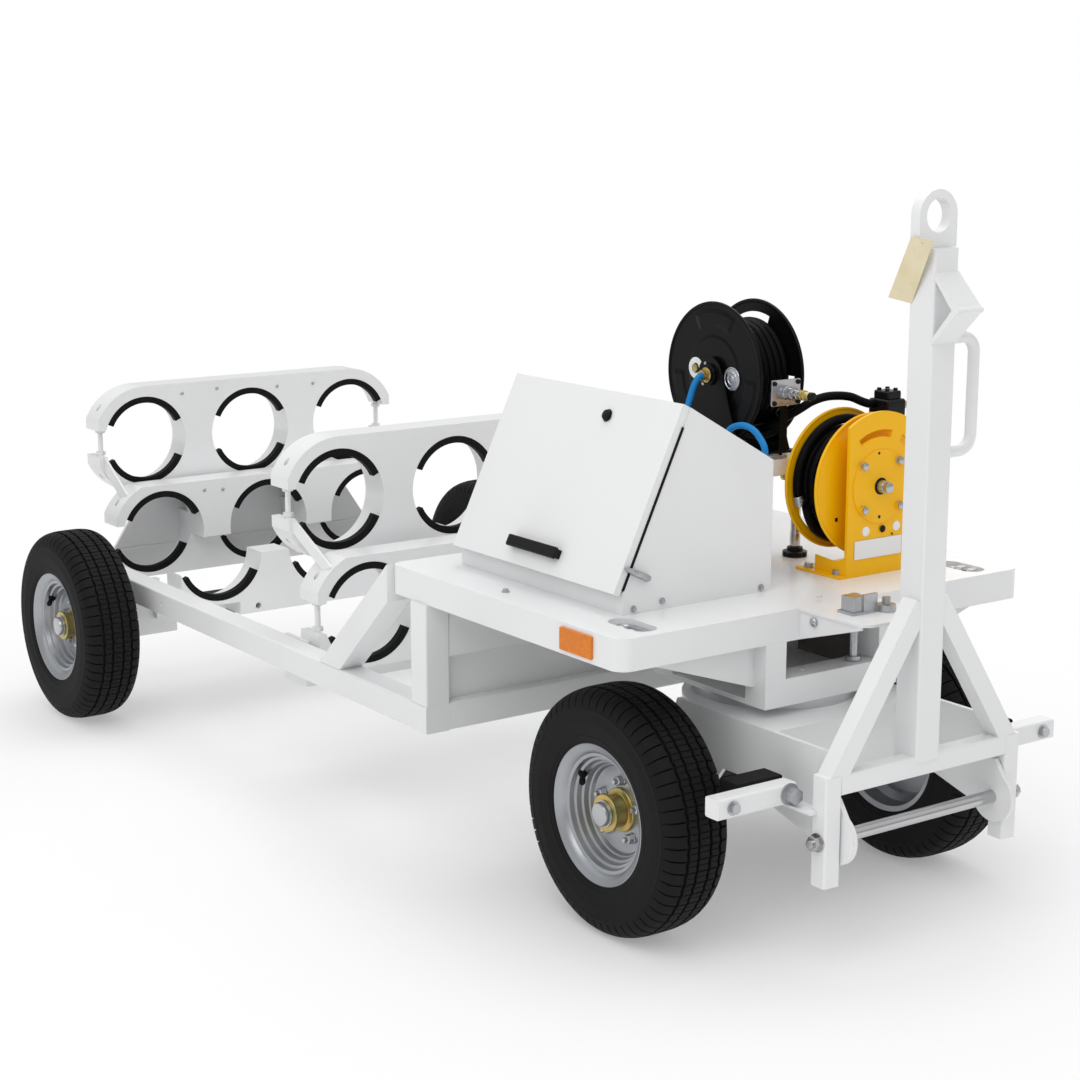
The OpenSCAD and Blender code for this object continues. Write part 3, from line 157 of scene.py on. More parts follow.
def prism(outline, origin, across, up, depth, edge=0.001):
    """A flat outline pushed along the cross product of across and up, with both ends bevelled."""
    flat = np.array(outline, float)
    x, y = unit(np.array(across, float)), unit(np.array(up, float))
    z = np.cross(x, y)
    turn = unit(np.roll(flat, -1, 0) - np.roll(flat, 1, 0))
    inner = flat + edge * np.stack([-turn[:, 1], turn[:, 0]], -1)
    rows = [(inner, 0.0), (flat, edge), (flat, depth - edge), (inner, depth)]
    return np.array(origin, float) + np.array([s[:, :1] * x + s[:, 1:] * y + d * z for s, d in rows])


def soft_box(width, height, corner, steps=6):
    """Outline of a rectangle with round corners: a quarter circle turned and moved to each of them."""
    t = np.linspace(0, np.pi / 2, steps)
    quarter = corner * np.stack([np.cos(t), np.sin(t)], -1)
    out = []
    for c, s, x, y in ((1, 0, 1, 1), (0, 1, -1, 1), (-1, 0, -1, -1), (0, -1, 1, -1)):
        middle = [x * (width / 2 - corner), y * (height / 2 - corner)]
        out.append(quarter @ np.array([[c, s], [-s, c]]) + middle)
    return np.concatenate(out)


def carried(outline, path, across):
    """A flat outline carried along a path: its first number along across, its second square to both."""
    p = np.array(path, float)
    along = unit(np.gradient(p, axis=0))
    side = np.broadcast_to(unit(np.array(across, float)), p.shape)
    over = unit(np.cross(along, side))
    flat = np.array(outline, float)
    return p[:, None] + flat[:, :1] * side[:, None] + flat[:, 1:] * over[:, None]


def framed(axis):
    """Two directions square to an axis and to each other."""
    axis = unit(np.array(axis, float))
    side = unit(np.cross(axis, [0.31, 0.2, 0.93] if abs(axis[2]) < 0.9 else [1, 0, 0]))
    return side, np.cross(axis, side)


def front(x, y, z):
    """A place given from the front axle, in millimetres, in the frame's metres."""
    return np.array([AHEAD + x / 1000, y / 1000, z / 1000])


def bolt(shell, at, axis, across=17, head=8, washer=0):
    """Hexagon head on a washer, sizes in millimetres. A cone cuts the head's outer end, so that its corners
    fall away."""
    axis = unit(np.array(axis, float))
    side, other = framed(axis)
    thick, rim = (2.2, washer / 2) if washer else (0.0, 0.0)
    if washer:
        shell.lathe([(0, rim - 0.4), (0.4, rim), (1.8, rim), (thick, rim - 0.5)], at, axis, 32)
    t = np.linspace(0, 2 * np.pi, 36, endpoint=False)
    hexagon = across / 2 / np.cos((t + np.pi / 6) % (np.pi / 3) - np.pi / 6)
    rows = [(0, hexagon), (0.82, hexagon), (0.94, np.minimum(hexagon, across * 0.53)),
            (1, np.minimum(hexagon, across * 0.47))]
    around = np.cos(t)[:, None] * side + np.sin(t)[:, None] * other
    shell.rings(at + np.array([(thick + head * h) * axis + r[:, None] * around for h, r in rows]) / 1000)


def dome(shell, at, axis, width=12, height=4):
    """Button head, sizes in millimetres: a quarter ellipse turned about its axis."""
    t = np.linspace(0, np.pi / 2 * 0.94, 7)
    shell.lathe(np.c_[height * np.sin(t), width / 2 * np.cos(t)], at, axis, 24)


# Finishes
class Value:
    """A shader socket that Python's operators work on; each adds one Math node."""

    def __init__(self, finish, socket):
        self.finish, self.socket = finish, socket

    def math(self, operation, other):
        return self.finish.add("ShaderNodeMath", {"operation": operation}, {0: self, 1: other})

    def __add__(self, other):
        return self.math("ADD", other)

    __radd__ = __add__

    def __mul__(self, other):
        return self.math("MULTIPLY", other)

    __rmul__ = __mul__

    def between(self, low, high):
        """0 below low, 1 above high, and a smooth step between them."""
        return self.finish.add("ShaderNodeMapRange", {"interpolation_type": "SMOOTHSTEP"},
                               {"Value": self, "From Min": low, "From Max": high})


class Finish:
    """A material while its nodes are being added."""

    def __init__(self, name):
        self.material = bpy.data.materials.new(name)
        self.material.use_nodes = True
        self.tree = self.material.node_tree
        self.tree.nodes.clear()
        place = self.tree.nodes.new("ShaderNodeTexCoord")
        self.place = Value(self, place.outputs["Object"])

    def add(self, kind, settings, inputs, output=0):
        """Adds a node: its settings first, then a number, a colour or a Value for each named socket."""
        node = self.tree.nodes.new(kind)
        for key, setting in settings.items():
            setattr(node, key, setting)
        for key, given in inputs.items():
            if isinstance(given, Value):
                self.tree.links.new(given.socket, node.inputs[key])
            else:
                node.inputs[key].default_value = given
        return Value(self, node.outputs[output])

    def noise(self, scale, detail=2.0, rough=0.5):
        """Noise of about that many cells a metre, from 0 to 1."""
        return self.add("ShaderNodeTexNoise", {}, {"Vector": self.place, "Scale": scale, "Detail": detail,
                                                   "Roughness": rough})

    def cells(self, scale):
        """Distance to the nearest of scattered points."""
        return self.add("ShaderNodeTexVoronoi", {}, {"Vector": self.place, "Scale": scale})

    def mix(self, share, first, second):
        """First colour where share is 0, second where it is 1."""
        rgba = [c if isinstance(c, Value) else (*c, 1) for c in (first, second)]
        return self.add("ShaderNodeMix", {"data_type": "RGBA"}, {0: share, 6: rgba[0], 7: rgba[1]}, 2)

    def bump(self, height, depth, strength=1.0, under=None):
        """Shading of a relief: depth is what a height of 1 stands for, in metres."""
        inputs = {"Height": height, "Distance": depth, "Strength": strength}
        if under:
            inputs["Normal"] = under
        return self.add("ShaderNodeBump", {}, inputs)

    def round_edges(self, radius):
        """Shading of an edge rounded to that radius."""
        return self.add("ShaderNodeBevel", {"samples": 4}, {"Radius": radius})

    def surface(self, base, rough, normal=None, **more):
        """Closes the material with one Principled surface."""
        inputs = {"Base Color": base if isinstance(base, Value) else (*base, 1), "Roughness": rough}
        inputs.update({key.replace("_", " ").title(): given for key, given in more.items()})
        inputs = {key.replace("Ior", "IOR"): given for key, given in inputs.items()}
        if normal:
            inputs["Normal"] = normal
        surface = self.add("ShaderNodeBsdfPrincipled", {}, inputs)
        self.add_output(surface)
        return self.material

    def add_output(self, surface):
        """Joins a surface to the material's output."""
        output = self.tree.nodes.new("ShaderNodeOutputMaterial")
        self.tree.links.new(surface.socket, output.inputs["Surface"])


def shade(colour, share):
    """A colour with each of its numbers times share."""
    return tuple(c * share for c in colour)


def paint(name, colour, rough=0.33, round_edge=0.0016, peel=1.0, coat=0.25, gleam=0.5):
    """Sprayed paint: a slight orange peel, uneven gloss, soft film build at the edges."""
    f = Finish(name)
    cloud, grain = f.noise(2.3, 3), f.noise(420, 1.5)
    base = f.mix(cloud.between(0.35, 0.75) * 0.6, colour, shade(colour, 0.93))
    normal = f.bump(grain, 0.00012 * peel, 0.5, f.round_edges(round_edge))
    return f.surface(base, cloud * 0.1 + (rough - 0.05), normal, coat_weight=coat, coat_roughness=0.12,
                     specular_ior_level=gleam)


def bare_metal(name, colour, rough=0.3, spangle=0.0, metallic=1.0, edge=0.0008):
    """Plated or ground steel: fine uneven grain, and crystal patches where spangle is given."""
    f = Finish(name)
    cloud, grain = f.noise(16, 3), f.noise(900, 2)
    patch = f.cells(90 if spangle else 30)
    base = f.mix(cloud * 0.5 + patch * spangle, colour, shade(colour, 0.72))
    normal = f.bump(grain, 0.00006, 0.5, f.round_edges(edge))
    return f.surface(base, grain * 0.12 + cloud * 0.12 + (rough - 0.1), normal, metallic=metallic)


def passivated(name, colour):
    """Yellow chromate over zinc: gold that drifts to green and rose, a little greasy."""
    f = Finish(name)
    drift, film = f.noise(24, 2), f.noise(70, 3)
    gold = f.mix(drift.between(0.4, 0.62), colour, (0.4, 0.37, 0.14))
    base = f.mix(film.between(0.5, 0.72) * 0.4, gold, (0.58, 0.36, 0.2))
    return f.surface(base, film * 0.2 + 0.22, f.bump(f.noise(600), 0.00005, 0.5, f.round_edges(0.0008)),
                     metallic=0.92)


def rubber(name, colour, rough=0.62, dust=0.35, grain=1.0, gleam=0.16):
    """Moulded rubber: matt, with a grey bloom in patches and a fine pebble."""
    f = Finish(name)
    bloom, pebble = f.noise(9, 4, 0.6), f.noise(700, 2)
    grey = tuple(c * 1.8 + 0.002 for c in colour)
    base = f.mix(bloom.between(0.4, 0.8) * dust, colour, grey)
    return f.surface(base, bloom * 0.18 + (rough - 0.09), f.bump(pebble, 0.0001 * grain, 0.6),
                     specular_ior_level=gleam)


def plastic(name, colour, rough=0.4, texture=1.0, gleam=0.2):
    """Moulded plastic with a spark-eroded grain."""
    f = Finish(name)
    grain, cloud = f.cells(1400), f.noise(12)
    base = f.mix(cloud * 0.3, colour, shade(colour, 1.25))
    normal = f.bump(grain, 0.00006 * texture, 0.5, f.round_edges(0.001))
    return f.surface(base, cloud * 0.1 + (rough - 0.05), normal, specular_ior_level=gleam)


def reflector_plastic(name, colour):
    """Amber lens over rows of cube corners: small cells that catch the light each their own way."""
    f = Finish(name)
    cells = f.cells(420)
    rows = f.add("ShaderNodeTexChecker", {}, {"Vector": f.place, "Scale": 260.0}, 1)
    # Each cell's colour is darkened by its own share: painted light and shade of the cube corners
    base = f.mix(cells.between(0.1, 0.7), colour, shade(colour, 0.62))
    normal = f.bump(cells * 0.6 + rows * 0.4, 0.0012, 0.35)
    return f.surface(base, cells * 0.1 + 0.3, normal, specular_ior_level=0.35)


def card(name, colour):
    """Manila card: fibres, soft stains and a slight crease."""
    f = Finish(name)
    fibre, stain = f.noise(1100, 4, 0.7), f.noise(26, 3)
    red, green, blue = colour
    stained = f.mix(stain.between(0.35, 0.75) * 0.5, colour, (red * 0.86, green * 0.8, blue * 0.66))
    base = f.mix(fibre * 0.18, stained, (0.5, 0.42, 0.3))
    return f.surface(base, fibre * 0.1 + 0.72, f.bump(fibre, 0.00008, 0.6))


def colour_of(name, description, default):
    """A colour in the panel."""
    return bpy.props.FloatVectorProperty(name=name, description=description, subtype="COLOR",
                                         default=default, min=0, max=1)


def length_of(name, description, default, low, high):
    """A length in the panel, with its limits."""
    return bpy.props.FloatProperty(name=name, description=description, unit="LENGTH",
                                   default=default, min=low, max=high)


class CartLooks(bpy.types.PropertyGroup):
    """Colours of the cart's finishes, as a paint card gives them."""

    frame_paint: colour_of("Frame paint", "Sprayed paint on the frame", (0.83, 0.835, 0.84))
    reel_paint: colour_of("Reel paint", "Paint of the small reel", (0.95, 0.5, 0.0))
    dark_paint: colour_of("Dark paint", "Paint of the tall reel and axles", (0.0035, 0.0035, 0.004))
    blue_rubber: colour_of("Blue hose", "Colour of the two feed hoses", (0.006, 0.19, 0.5))
    lens: colour_of("Reflector", "Colour of the side reflectors", (1.0, 0.27, 0.005))
    tag_card: colour_of("Tag", "Colour of the card tag", (0.8, 0.72, 0.5))


class CartSizes(bpy.types.PropertyGroup):
    """Sizes of the pieces that are modelled here."""

    groove: length_of("Tread depth", "Depth of the tyres' grooves", 0.0075, 0.002, 0.014)
    blocks: bpy.props.IntProperty(name="Shoulder blocks", description="Blocks round one shoulder of a tyre",
                                  default=60, min=24, max=96)
    hose: length_of("Hose", "Diameter of the black hose", 0.0214, 0.01, 0.04)
    thin_hose: length_of("Feed hose", "Diameter of the blue hoses", 0.016, 0.01, 0.03)


class StageLooks(bpy.types.PropertyGroup):
    """Camera and light."""

    lens: bpy.props.FloatProperty(name="Lens", description="Focal length on a 36 mm sensor", default=70.9)
    camera_at: bpy.props.FloatVectorProperty(name="Camera", description="Where the camera stands",
                                             subtype="TRANSLATION", default=(4.786, -3.302, 1.903))
    camera_heading: bpy.props.FloatProperty(name="Heading", description="Camera's turn about the vertical",
                                            subtype="ANGLE", default=math.radians(54.73))
    camera_dip: bpy.props.FloatProperty(name="Dip", description="How far the camera looks down",
                                        subtype="ANGLE", default=math.radians(11.86))
    key_power: bpy.props.FloatProperty(name="Key light", description="Power of the large lamp",
                                       default=62.0)
    sky: bpy.props.FloatProperty(name="Room light", description="Strength of the even light of the room",
                                 default=0.79)


# What makes each finish, then its colour or the panel's name for it, then the maker's further numbers
FINISHES = {
    "frame_white": (paint, "frame_paint"),
    "reel_yellow": (paint, "reel_paint", 0.36, 0.0012, 0.8, 0.0, 0.3),
    "axle_black": (paint, "dark_paint", 0.42, 0.0015, 1.4, 0.0, 0.2),
    "reel_black": (paint, "dark_paint", 0.3, 0.0012, 0.8, 0.0, 0.12),
    # Painted shade: a dark grey that stands in for the unlit inside of the closed neck box
    "inside_grey": (paint, (0.17, 0.155, 0.145), 0.5, 0.001, 1.0, 0.0, 0.2),
    "zinc": (bare_metal, (0.52, 0.53, 0.55), 0.27, 0.15),
    "light_zinc": (bare_metal, (0.68, 0.69, 0.7), 0.36, 0.1),
    "wheel_silver": (bare_metal, (0.42, 0.435, 0.46), 0.34, 0.05, 0.85, 0.0015),
    "ground_steel": (bare_metal, (0.55, 0.55, 0.56), 0.14),
    "gold_zinc": (passivated, (0.56, 0.4, 0.13)),
    "tyre_rubber": (rubber, (0.0065, 0.0065, 0.007), 0.66, 0.3),
    "strip_rubber": (rubber, (0.004, 0.004, 0.0045), 0.6, 0.25),
    "hose_rubber": (rubber, (0.0022, 0.0022, 0.0028), 0.45, 0.15, 0.6, 0.08),
    "hose_blue": (rubber, "blue_rubber", 0.4, 0.05, 0.4, 0.2),
    "black_plastic": (plastic, (0.005, 0.005, 0.0055)),
    "amber_lens": (reflector_plastic, "lens"),
    "tag_card": (card, "tag_card"),
}


def finish_of(kind):
    """The finish of that kind, made on first use."""
    # The CAD nodes bring flat materials named like some kinds, so each finish has a name of its own
    name = "finish_" + kind
    if name in bpy.data.materials:
        return bpy.data.materials[name]
    maker, colour, *more = FINISHES[kind]
    if isinstance(colour, str):
        colour = tuple(getattr(bpy.context.scene.cart_looks, colour))
    return maker(name, colour, *more)


# The CAD nodes of each finish; all others are painted white
NODES_OF = {
    "axle_black": ("rear_axle", "front_axle"),
    "reel_black": ("black_reel_stand", "black_reel_drum"),
    "hose_rubber": ("black_winding", "yellow_winding", "hose_run"),
    "black_plastic": ("hose_stop", "door_fittings"),
    "hose_blue": ("blue_hoses",),
    "reel_yellow": ("yellow_reel_stand", "yellow_reel_drum"),
    "strip_rubber": ("rack_strips", "door_seal", "brake_pads"),
    "zinc": ("lift_ring_right", "lift_ring_left", "lock_pin", "tow_catch", "side_latch", "outlet_plate",
             "stub_bolts", "valve_column"),
    "light_zinc": ("turntable_upper", "turntable_lower"),
    "frame_white": ("clamp_bolts",),
    "ground_steel": ("pivot_rod",),
    "tag_card": ("paper_tag",),
}
NODE_FINISH = {node: kind for kind, nodes in NODES_OF.items() for node in nodes}


class CART_OT_finish_frame(bpy.types.Operator):
    """Gives every solid of the frame its finish"""

    bl_idname = "cart.finish_frame"
    bl_label = "Finish the frame"

    def execute(self, context):
        wheel = {"tyre": "tyre_rubber", "rim": "wheel_silver", "hub": "gold_zinc"}
        for name, node in NODES.items():
            part = name.rsplit("_", 1)[-1]
            node.data.materials.clear()
            node.data.materials.append(finish_of(wheel.get(part) or NODE_FINISH.get(name, "frame_white")))
        return {"FINISHED"}


# Tyres, in metres
TYRE_R, SEAT_R, HALF_W = 0.292, 0.1555, 0.089
# How far up the side and how wide, as parts of the height and the half width
SIDE = np.array([(0.0, 0.8), (0.065, 0.81), (0.08, 0.9), (0.14, 0.945), (0.33, 0.985), (0.55, 0.995),
                 (0.74, 0.95), (0.87, 0.86), (0.95, 0.7), (0.99, 0.46), (1.0, 0.2), (1.0, 0.0)])
# Raised lines round the side: how far up it, and how far they stand out
RAISED = [(0.2, 0.0011), (0.44, 0.0008), (0.66, 0.0012)]
# The crown from its edge to its middle: distance from the middle, and whether a groove is cut there
CROWN = [(0.0765, 0), (0.0725, 0), (0.0665, 0), (0.06, 0), (0.0535, 0), (0.0485, 0), (0.0475, 1),
         (0.0415, 1), (0.0405, 0), (0.034, 0), (0.027, 0), (0.0205, 0), (0.0195, 1), (0.014, 1),
         (0.013, 0), (0.0065, 0), (0.0, 0)]
# Along one shoulder block: share of its pitch, whether the slot is cut there, and whether the fine cut is
BLOCK = [(0.0, 0, 0), (0.01, 0, 0), (0.035, 1, 0), (0.12, 1, 0), (0.145, 0, 0), (0.25, 0, 0), (0.38, 0, 0),
         (0.5, 0, 0), (0.51, 0, 0), (0.53, 0, 1), (0.56, 0, 1), (0.57, 0, 0), (0.8, 0, 0)]
# How far the grooves swing to each side
ZIGZAG = 0.0016


def tyre_section():
    """Across one tyre, bead to bead: place, radius, groove (0 or 1), shares of zigzag, shoulder and rib.
    The side follows SIDE through a smooth path; the crown is cut at the grooves' own edges."""
    side = smooth_path(np.c_[SIDE, np.zeros(len(SIDE))], 14)[:, :2]
    height, wide = np.minimum(side[:, 0], 1.0), side[:, 1]
    radius = SEAT_R + height * (TYRE_R - SEAT_R)
    crown = height > 0.5
    # Rows stand close at the raised lines, and four times as far apart elsewhere
    lines = np.array([at for at, _ in RAISED])
    close = (np.abs(height[:, None] - lines) < 0.03).any(1) | (np.arange(len(height)) % 4 == 0)
    wall = close & (~crown | (wide > 0.87))
    bands = sum(np.exp(-((height - at) / 0.012) ** 2) * size for at, size in RAISED)
    shoulder = eased(height, 0.7, 0.78)
    rows = [(min(wide[k] * HALF_W + bands[k], HALF_W), radius[k], 0, 0, shoulder[k], 0)
            for k in np.flatnonzero(wall)]
    across, grooves = zip(*CROWN)
    heights = np.interp(across, (wide * HALF_W)[crown][::-1], radius[crown][::-1])
    for e, r, groove in zip(across, heights, grooves):
        rows.append((e, r, groove, 1.0 if e < 0.049 else 0.4, e > 0.048, e < 0.04 and not groove))
    half = np.array(rows, float)
    other = half[::-1][1:] * [-1, 1, 1, 1, 1, 1]
    return np.vstack([half, other])


class CART_OT_tyres(bpy.types.Operator):
    """Four tyres with shoulder blocks, zigzag grooves and ribs"""

    bl_idname = "cart.tyres"
    bl_label = "Tyres"

    def execute(self, context):
        sizes = context.scene.cart_sizes
        y, radius, groove, zigzag, shoulder, rib = tyre_section().T
        share, slot, cut = np.tile(np.array(BLOCK, float), (sizes.blocks, 1)).T
        part = np.repeat(np.arange(sizes.blocks), len(BLOCK)) + share
        angle = (part / sizes.blocks * 2 * np.pi)[:, None]
        wave = (np.abs(part % 1 * 2 - 1) * 2 - 1)[:, None]
        slot, cut = slot[:, None], cut[:, None]
        depth = np.maximum(groove, np.maximum(slot * shoulder, rib * (cut * 0.4 + slot * 0.35)))
        r = radius - sizes.groove * depth
        across = y + ZIGZAG * zigzag * wave * (np.abs(y) < 0.05)
        for name, x, mid, _ in WHEELS:
            ring = np.stack([x + r * np.sin(angle), mid + across, TYRE_R + r * np.cos(angle)], -1)
            tread = Shell().rings(ring, wrap=True)
            tread.make(name + "_tread", name + "_wheel", "tyre", "tyre_rubber", name + "_tyre", 34)
        return {"FINISHED"}


# Hoses
# The black reel's axle along X and Z, its barrel's radius, and both ends of its winding along Y, in metres
BLACK_AT, BARREL_R, BLACK_NEAR, BLACK_FAR = front(-336, 0, 1222)[[0, 2]], 0.1135, 0.0815, 0.2085
# The yellow reel's axle, along Y and Z, and the radius of its outer layer
YELLOW_AT, OUTER_R = np.array([0.287, 0.975]), 0.148


def wound(turns, pitch, start, first=0.0):
    """Helix that runs square for most of a turn and steps over by one pitch in its last sixth.
    Returns the angle and the place across the drum of each point."""
    t = np.linspace(0, turns, int(turns * 72) + 1)
    part = eased(t % 1, 0.83, 1.0)
    return first + t * 2 * np.pi, start + pitch * (np.floor(t) + part)


class CART_OT_windings(bpy.types.Operator):
    """The hose wound on each reel, turn beside turn"""

    bl_idname = "cart.windings"
    bl_label = "Wound hoses"

    def execute(self, context):
        hose = context.scene.cart_sizes.hose
        pitch = (BLACK_FAR - BLACK_NEAR) / 6
        radius = BARREL_R + hose / 2
        angle, across = wound(5.94, pitch, BLACK_NEAR + pitch / 2)
        path = np.c_[BLACK_AT[0] + radius * np.sin(angle), across, BLACK_AT[1] + radius * np.cos(angle)]
        shell = Shell().rings(tube(path, pitch / 2 + 0.0002, 14, (0.02, 1, 0.03)))
        near, far = BLACK_NEAR + 0.0005, BLACK_FAR - 0.0005
        core = [(near, 0.1083), (near, 0.121), (far, 0.121), (far, 0.1083)]
        shell.rings(turned(core, (BLACK_AT[0], 0, BLACK_AT[1]), LEFT).transpose(1, 0, 2), wrap=True)
        shell.make("black_turns", "black_drum", "hose", "hose_rubber", "black_winding")
        shell = Shell()
        for turns, radius, first in ((3.94, 0.123, 2.2), (0.97, OUTER_R, -1.75)):
            angle, across = wound(turns, 0.025, -0.0885, first)
            path = np.c_[AHEAD + across, YELLOW_AT[0] + radius * np.sin(angle),
                         YELLOW_AT[1] + radius * np.cos(angle)]
            shell.rings(tube(path, 0.0119, 14, (1, 0.02, 0.03)))
        core = [(-0.1015, 0.1053), (-0.1015, 0.121), (-0.0005, 0.121), (-0.0005, 0.1053)]
        shell.rings(turned(core, (AHEAD, *YELLOW_AT), FORE).transpose(1, 0, 2), wrap=True)
        shell.make("yellow_turns", "yellow_drum", "hose", "hose_rubber", "yellow_winding")
        return {"FINISHED"}


# The hoses' routes, in millimetres from the front axle: the black hose from the winding's last turn to its
# stop, then the two blue ones
RUN = [(-370, 150, 1102.5), (-336, 150, 1096.5), (-305, 151, 1088.5), (-278, 153, 1083.5),
       (-256, 156, 1085.5), (-236, 158, 1092.5), (-212, 164, 1105), (-188, 172, 1119), (-166, 184, 1134),
       (-148, 198, 1149), (-131, 218, 1166), (-112, 243, 1177.5), (-96, 272, 1180), (-84, 302, 1176),
       (-76, 333, 1163), (-71, 354, 1156.5), (-71, 374, 1156.5)]
FEED_A = [(-336, 46, 1222), (-336, 36, 1222), (-337, 25, 1214), (-338, 15, 1198), (-339, 8, 1179),
          (-339, 1, 1159), (-339, -7, 1141), (-339, -18, 1123), (-340, -31, 1107), (-340, -41.7, 1093.6),
          (-340, -51.6, 1076.2)]
FEED_B = [(-215, 6, 1030.4), (-215, 6, 1050), (-211, 5, 1075), (-197, 3, 1098), (-174, 1, 1115),
          (-148, 0, 1124), (-121, 0, 1126), (-94, 0, 1119), (-72, -1, 1105), (-50, -4, 1084),
          (-44, -8, 1062), (-42, -19, 1040), (-42, -31, 1026), (-42, -39.6, 1026)]


class CART_OT_hoses(bpy.types.Operator):
    """The black hose to its stop and the two blue feed hoses"""

    bl_idname = "cart.hoses"
    bl_label = "Hoses"

    def execute(self, context):
        sizes = context.scene.cart_sizes
        run = Shell().rings(tube(smooth_path([front(*at) for at in RUN], 8), sizes.hose / 2, 20))
        run.make("black_run", "chassis", "hose", "hose_rubber", "hose_run")
        feeds = Shell()
        for route in (FEED_A, FEED_B):
            feeds.rings(tube(smooth_path([front(*at) for at in route], 8), sizes.thin_hose / 2, 18))
        feeds.make("blue_feeds", "chassis", "blue_hose", "hose_blue", "blue_hoses")
        return {"FINISHED"}


# Small metalwork: plates, profiles and bolts have their sizes in millimetres
# The door leans back: where a step up it and a step out of it lead, then its foot and its thickness
UP_DOOR, OUT = np.array([0, 0.4263, 0.9045]), np.array([0, -0.9045, 0.4263])
DOOR_FOOT, DOOR_THICK = (-479, 811), 23.3


def on_door(s, out, x):
    """A place on the door: s up its slope and out from its face, x from the front axle, in millimetres."""
    return front(x, *DOOR_FOOT) + (s * UP_DOOR + (out + DOOR_THICK) * OUT) / 1000


class CART_OT_door_fittings(bpy.types.Operator):
    """The handle, the push button and the draw latch of the control box"""

    bl_idname = "cart.door_fittings"
    bl_label = "Door fittings"

    def execute(self, context):
        shell = Shell().slab(194, 28, 4, on_door(38.7, 12, -302), FORE, UP_DOOR, 10, 2)
        for x in (-382, -222):
            shell.slab(30, 22, 3, on_door(38.7, 0, x), FORE, UP_DOOR, 12.5, 0.4)
        shell.lathe([(0, 14.6), (1, 15), (3, 15), (4, 14.2), (4.2, 12.2), (9.2, 12), (10, 11)],
                    on_door(383.6, 0, -223), OUT, 48)
        shell.make("door_handle", "door", "black_plastic", "black_plastic", "door_fittings")
        lip = np.array([(0, 16.2), (1.2, 16.8), (2, 15.5), (0, 14.8)]) / 1000
        ring = Shell().rings(turned(lip, on_door(383.6, 0, -223), OUT, 48).transpose(1, 0, 2), wrap=True)
        ring.make("button_ring", "door", "zinc", "zinc")
        latch = Shell()
        start = on_door(50.9, -DOOR_THICK, 24)
        way = unit(OUT)
        latch.slab(17, 52, 4, start - 0.030 * way, UP_DOOR, way, 3, 0.6)
        barrel = [(-52, 4), (-50, 6.2), (-30, 6.2), (-29, 4.8), (-26, 4.8), (-25, 6.6), (-4, 6.6), (-3, 5),
                  (1, 5), (2, 6.4), (22, 5.8), (25, 4)]
        latch.lathe(barrel, start + 0.0105 * FORE, way, 28)
        lever = ((-0.046, 0.0175), (-0.03, 0.0185), (-0.01, 0.0175), (0.004, 0.0135))
        path = smooth_path([start + a * way + b * FORE for a, b in lever], 6)
        latch.rings(carried(soft_box(0.012, 0.003, 0.0012), path, UP_DOOR))
        for k in (-0.049, -0.013):
            dome(latch, start + k * way + 0.003 * FORE, FORE, 7, 2)
        latch.make("draw_latch", "latch", "zinc", "zinc", "side_latch")
        return {"FINISHED"}


# Round one rim: distance out and radius, from the disc over four steps to the lip and back under the tyre
RIM = [(8.3, 45), (8.3, 96), (10, 101.5), (19, 106), (20.5, 109.5), (32.5, 113), (34.5, 119), (46.5, 122.5),
       (48.5, 129), (60.5, 132.5), (62.5, 140.5), (70, 145), (74.5, 152), (77.5, 159), (80, 162.2),
       (81.2, 164.5), (80, 166.5), (77.5, 166), (75, 163), (72, 158), (60, 155), (40, 142.5), (33.6, 137.5),
       (-16, 137.5), (-34, 153), (-74.5, 156), (-79, 163), (-80.8, 165.5), (-81.2, 164), (-79, 159),
       (-76, 152), (-36, 148), (-18, 132.5), (0, 131), (0, 45)]
# Along one hub: distance out and radius, from behind the disc over the flange to the cap's seat
HUB = [(-62, 23.5), (-62, 41), (0, 41), (0, 52), (8.5, 52), (14, 52), (15.5, 50.5), (16.2, 41), (18, 38.5),
       (47, 37.5), (48.5, 40), (49.5, 44.5), (56, 44.5), (57.5, 43)]


class CART_OT_wheel_centres(bpy.types.Operator):
    """Stepped rims, hubs with their nuts and caps, and the tyre valves"""

    bl_idname = "cart.wheel_centres"
    bl_label = "Wheel centres"

    def execute(self, context):
        for name, x, mid, out in WHEELS:
            at, axis = np.array([x, mid, TYRE_R]), np.array([0.0, out, 0.0])
            body = name + "_wheel"
            gold = Shell().lathe(HUB, at, axis, 72)
            gold.make(name + "_hub_shell", body, "gold_zinc", "gold_zinc", name + "_hub")
            rim = Shell().lathe(RIM, at, axis, 120, wrap=True)
            rim.make(name + "_stepped_rim", body, "zinc", "wheel_silver", name + "_rim", 28)
            bright = Shell()
            cap = [(57.5, 30.5), (58.5, 31.5), (61, 31.5), (61.5, 28.5), (70, 28.3), (73.5, 26.2),
                   (74.5, 22.5)]
            bright.lathe(cap, at, axis, 56)
            for k in range(5):
                t = 2 * np.pi * k / 5 + 0.3
                spot = at + 0.071 * (np.cos(t) * FORE + np.sin(t) * UP) + 0.0085 * axis
                bolt(bright, spot, axis, 21, 14, 27)
                bright.lathe([(14, 6), (24, 6), (25.5, 5)], spot, axis, 20)
            bright.make(name + "_nuts", body, "zinc", "zinc")
            valve = Shell()
            root = at + np.array([-0.1057, 0, 0.066]) + 0.041 * axis
            tip = root + np.array([0.030, 0, -0.013]) + 0.024 * axis
            line = np.linspace(root, tip, 12)
            thickness = np.interp(np.linspace(0, 1, 12), [0, 0.12, 0.3, 0.6, 0.64, 0.95, 1],
                                  [0.0115, 0.0105, 0.0075, 0.0062, 0.0078, 0.0078, 0.006])
            valve.rings(tube(line, thickness, 16))
            valve.make(name + "_valve", body, "rubber", "strip_rubber")
        return {"FINISHED"}


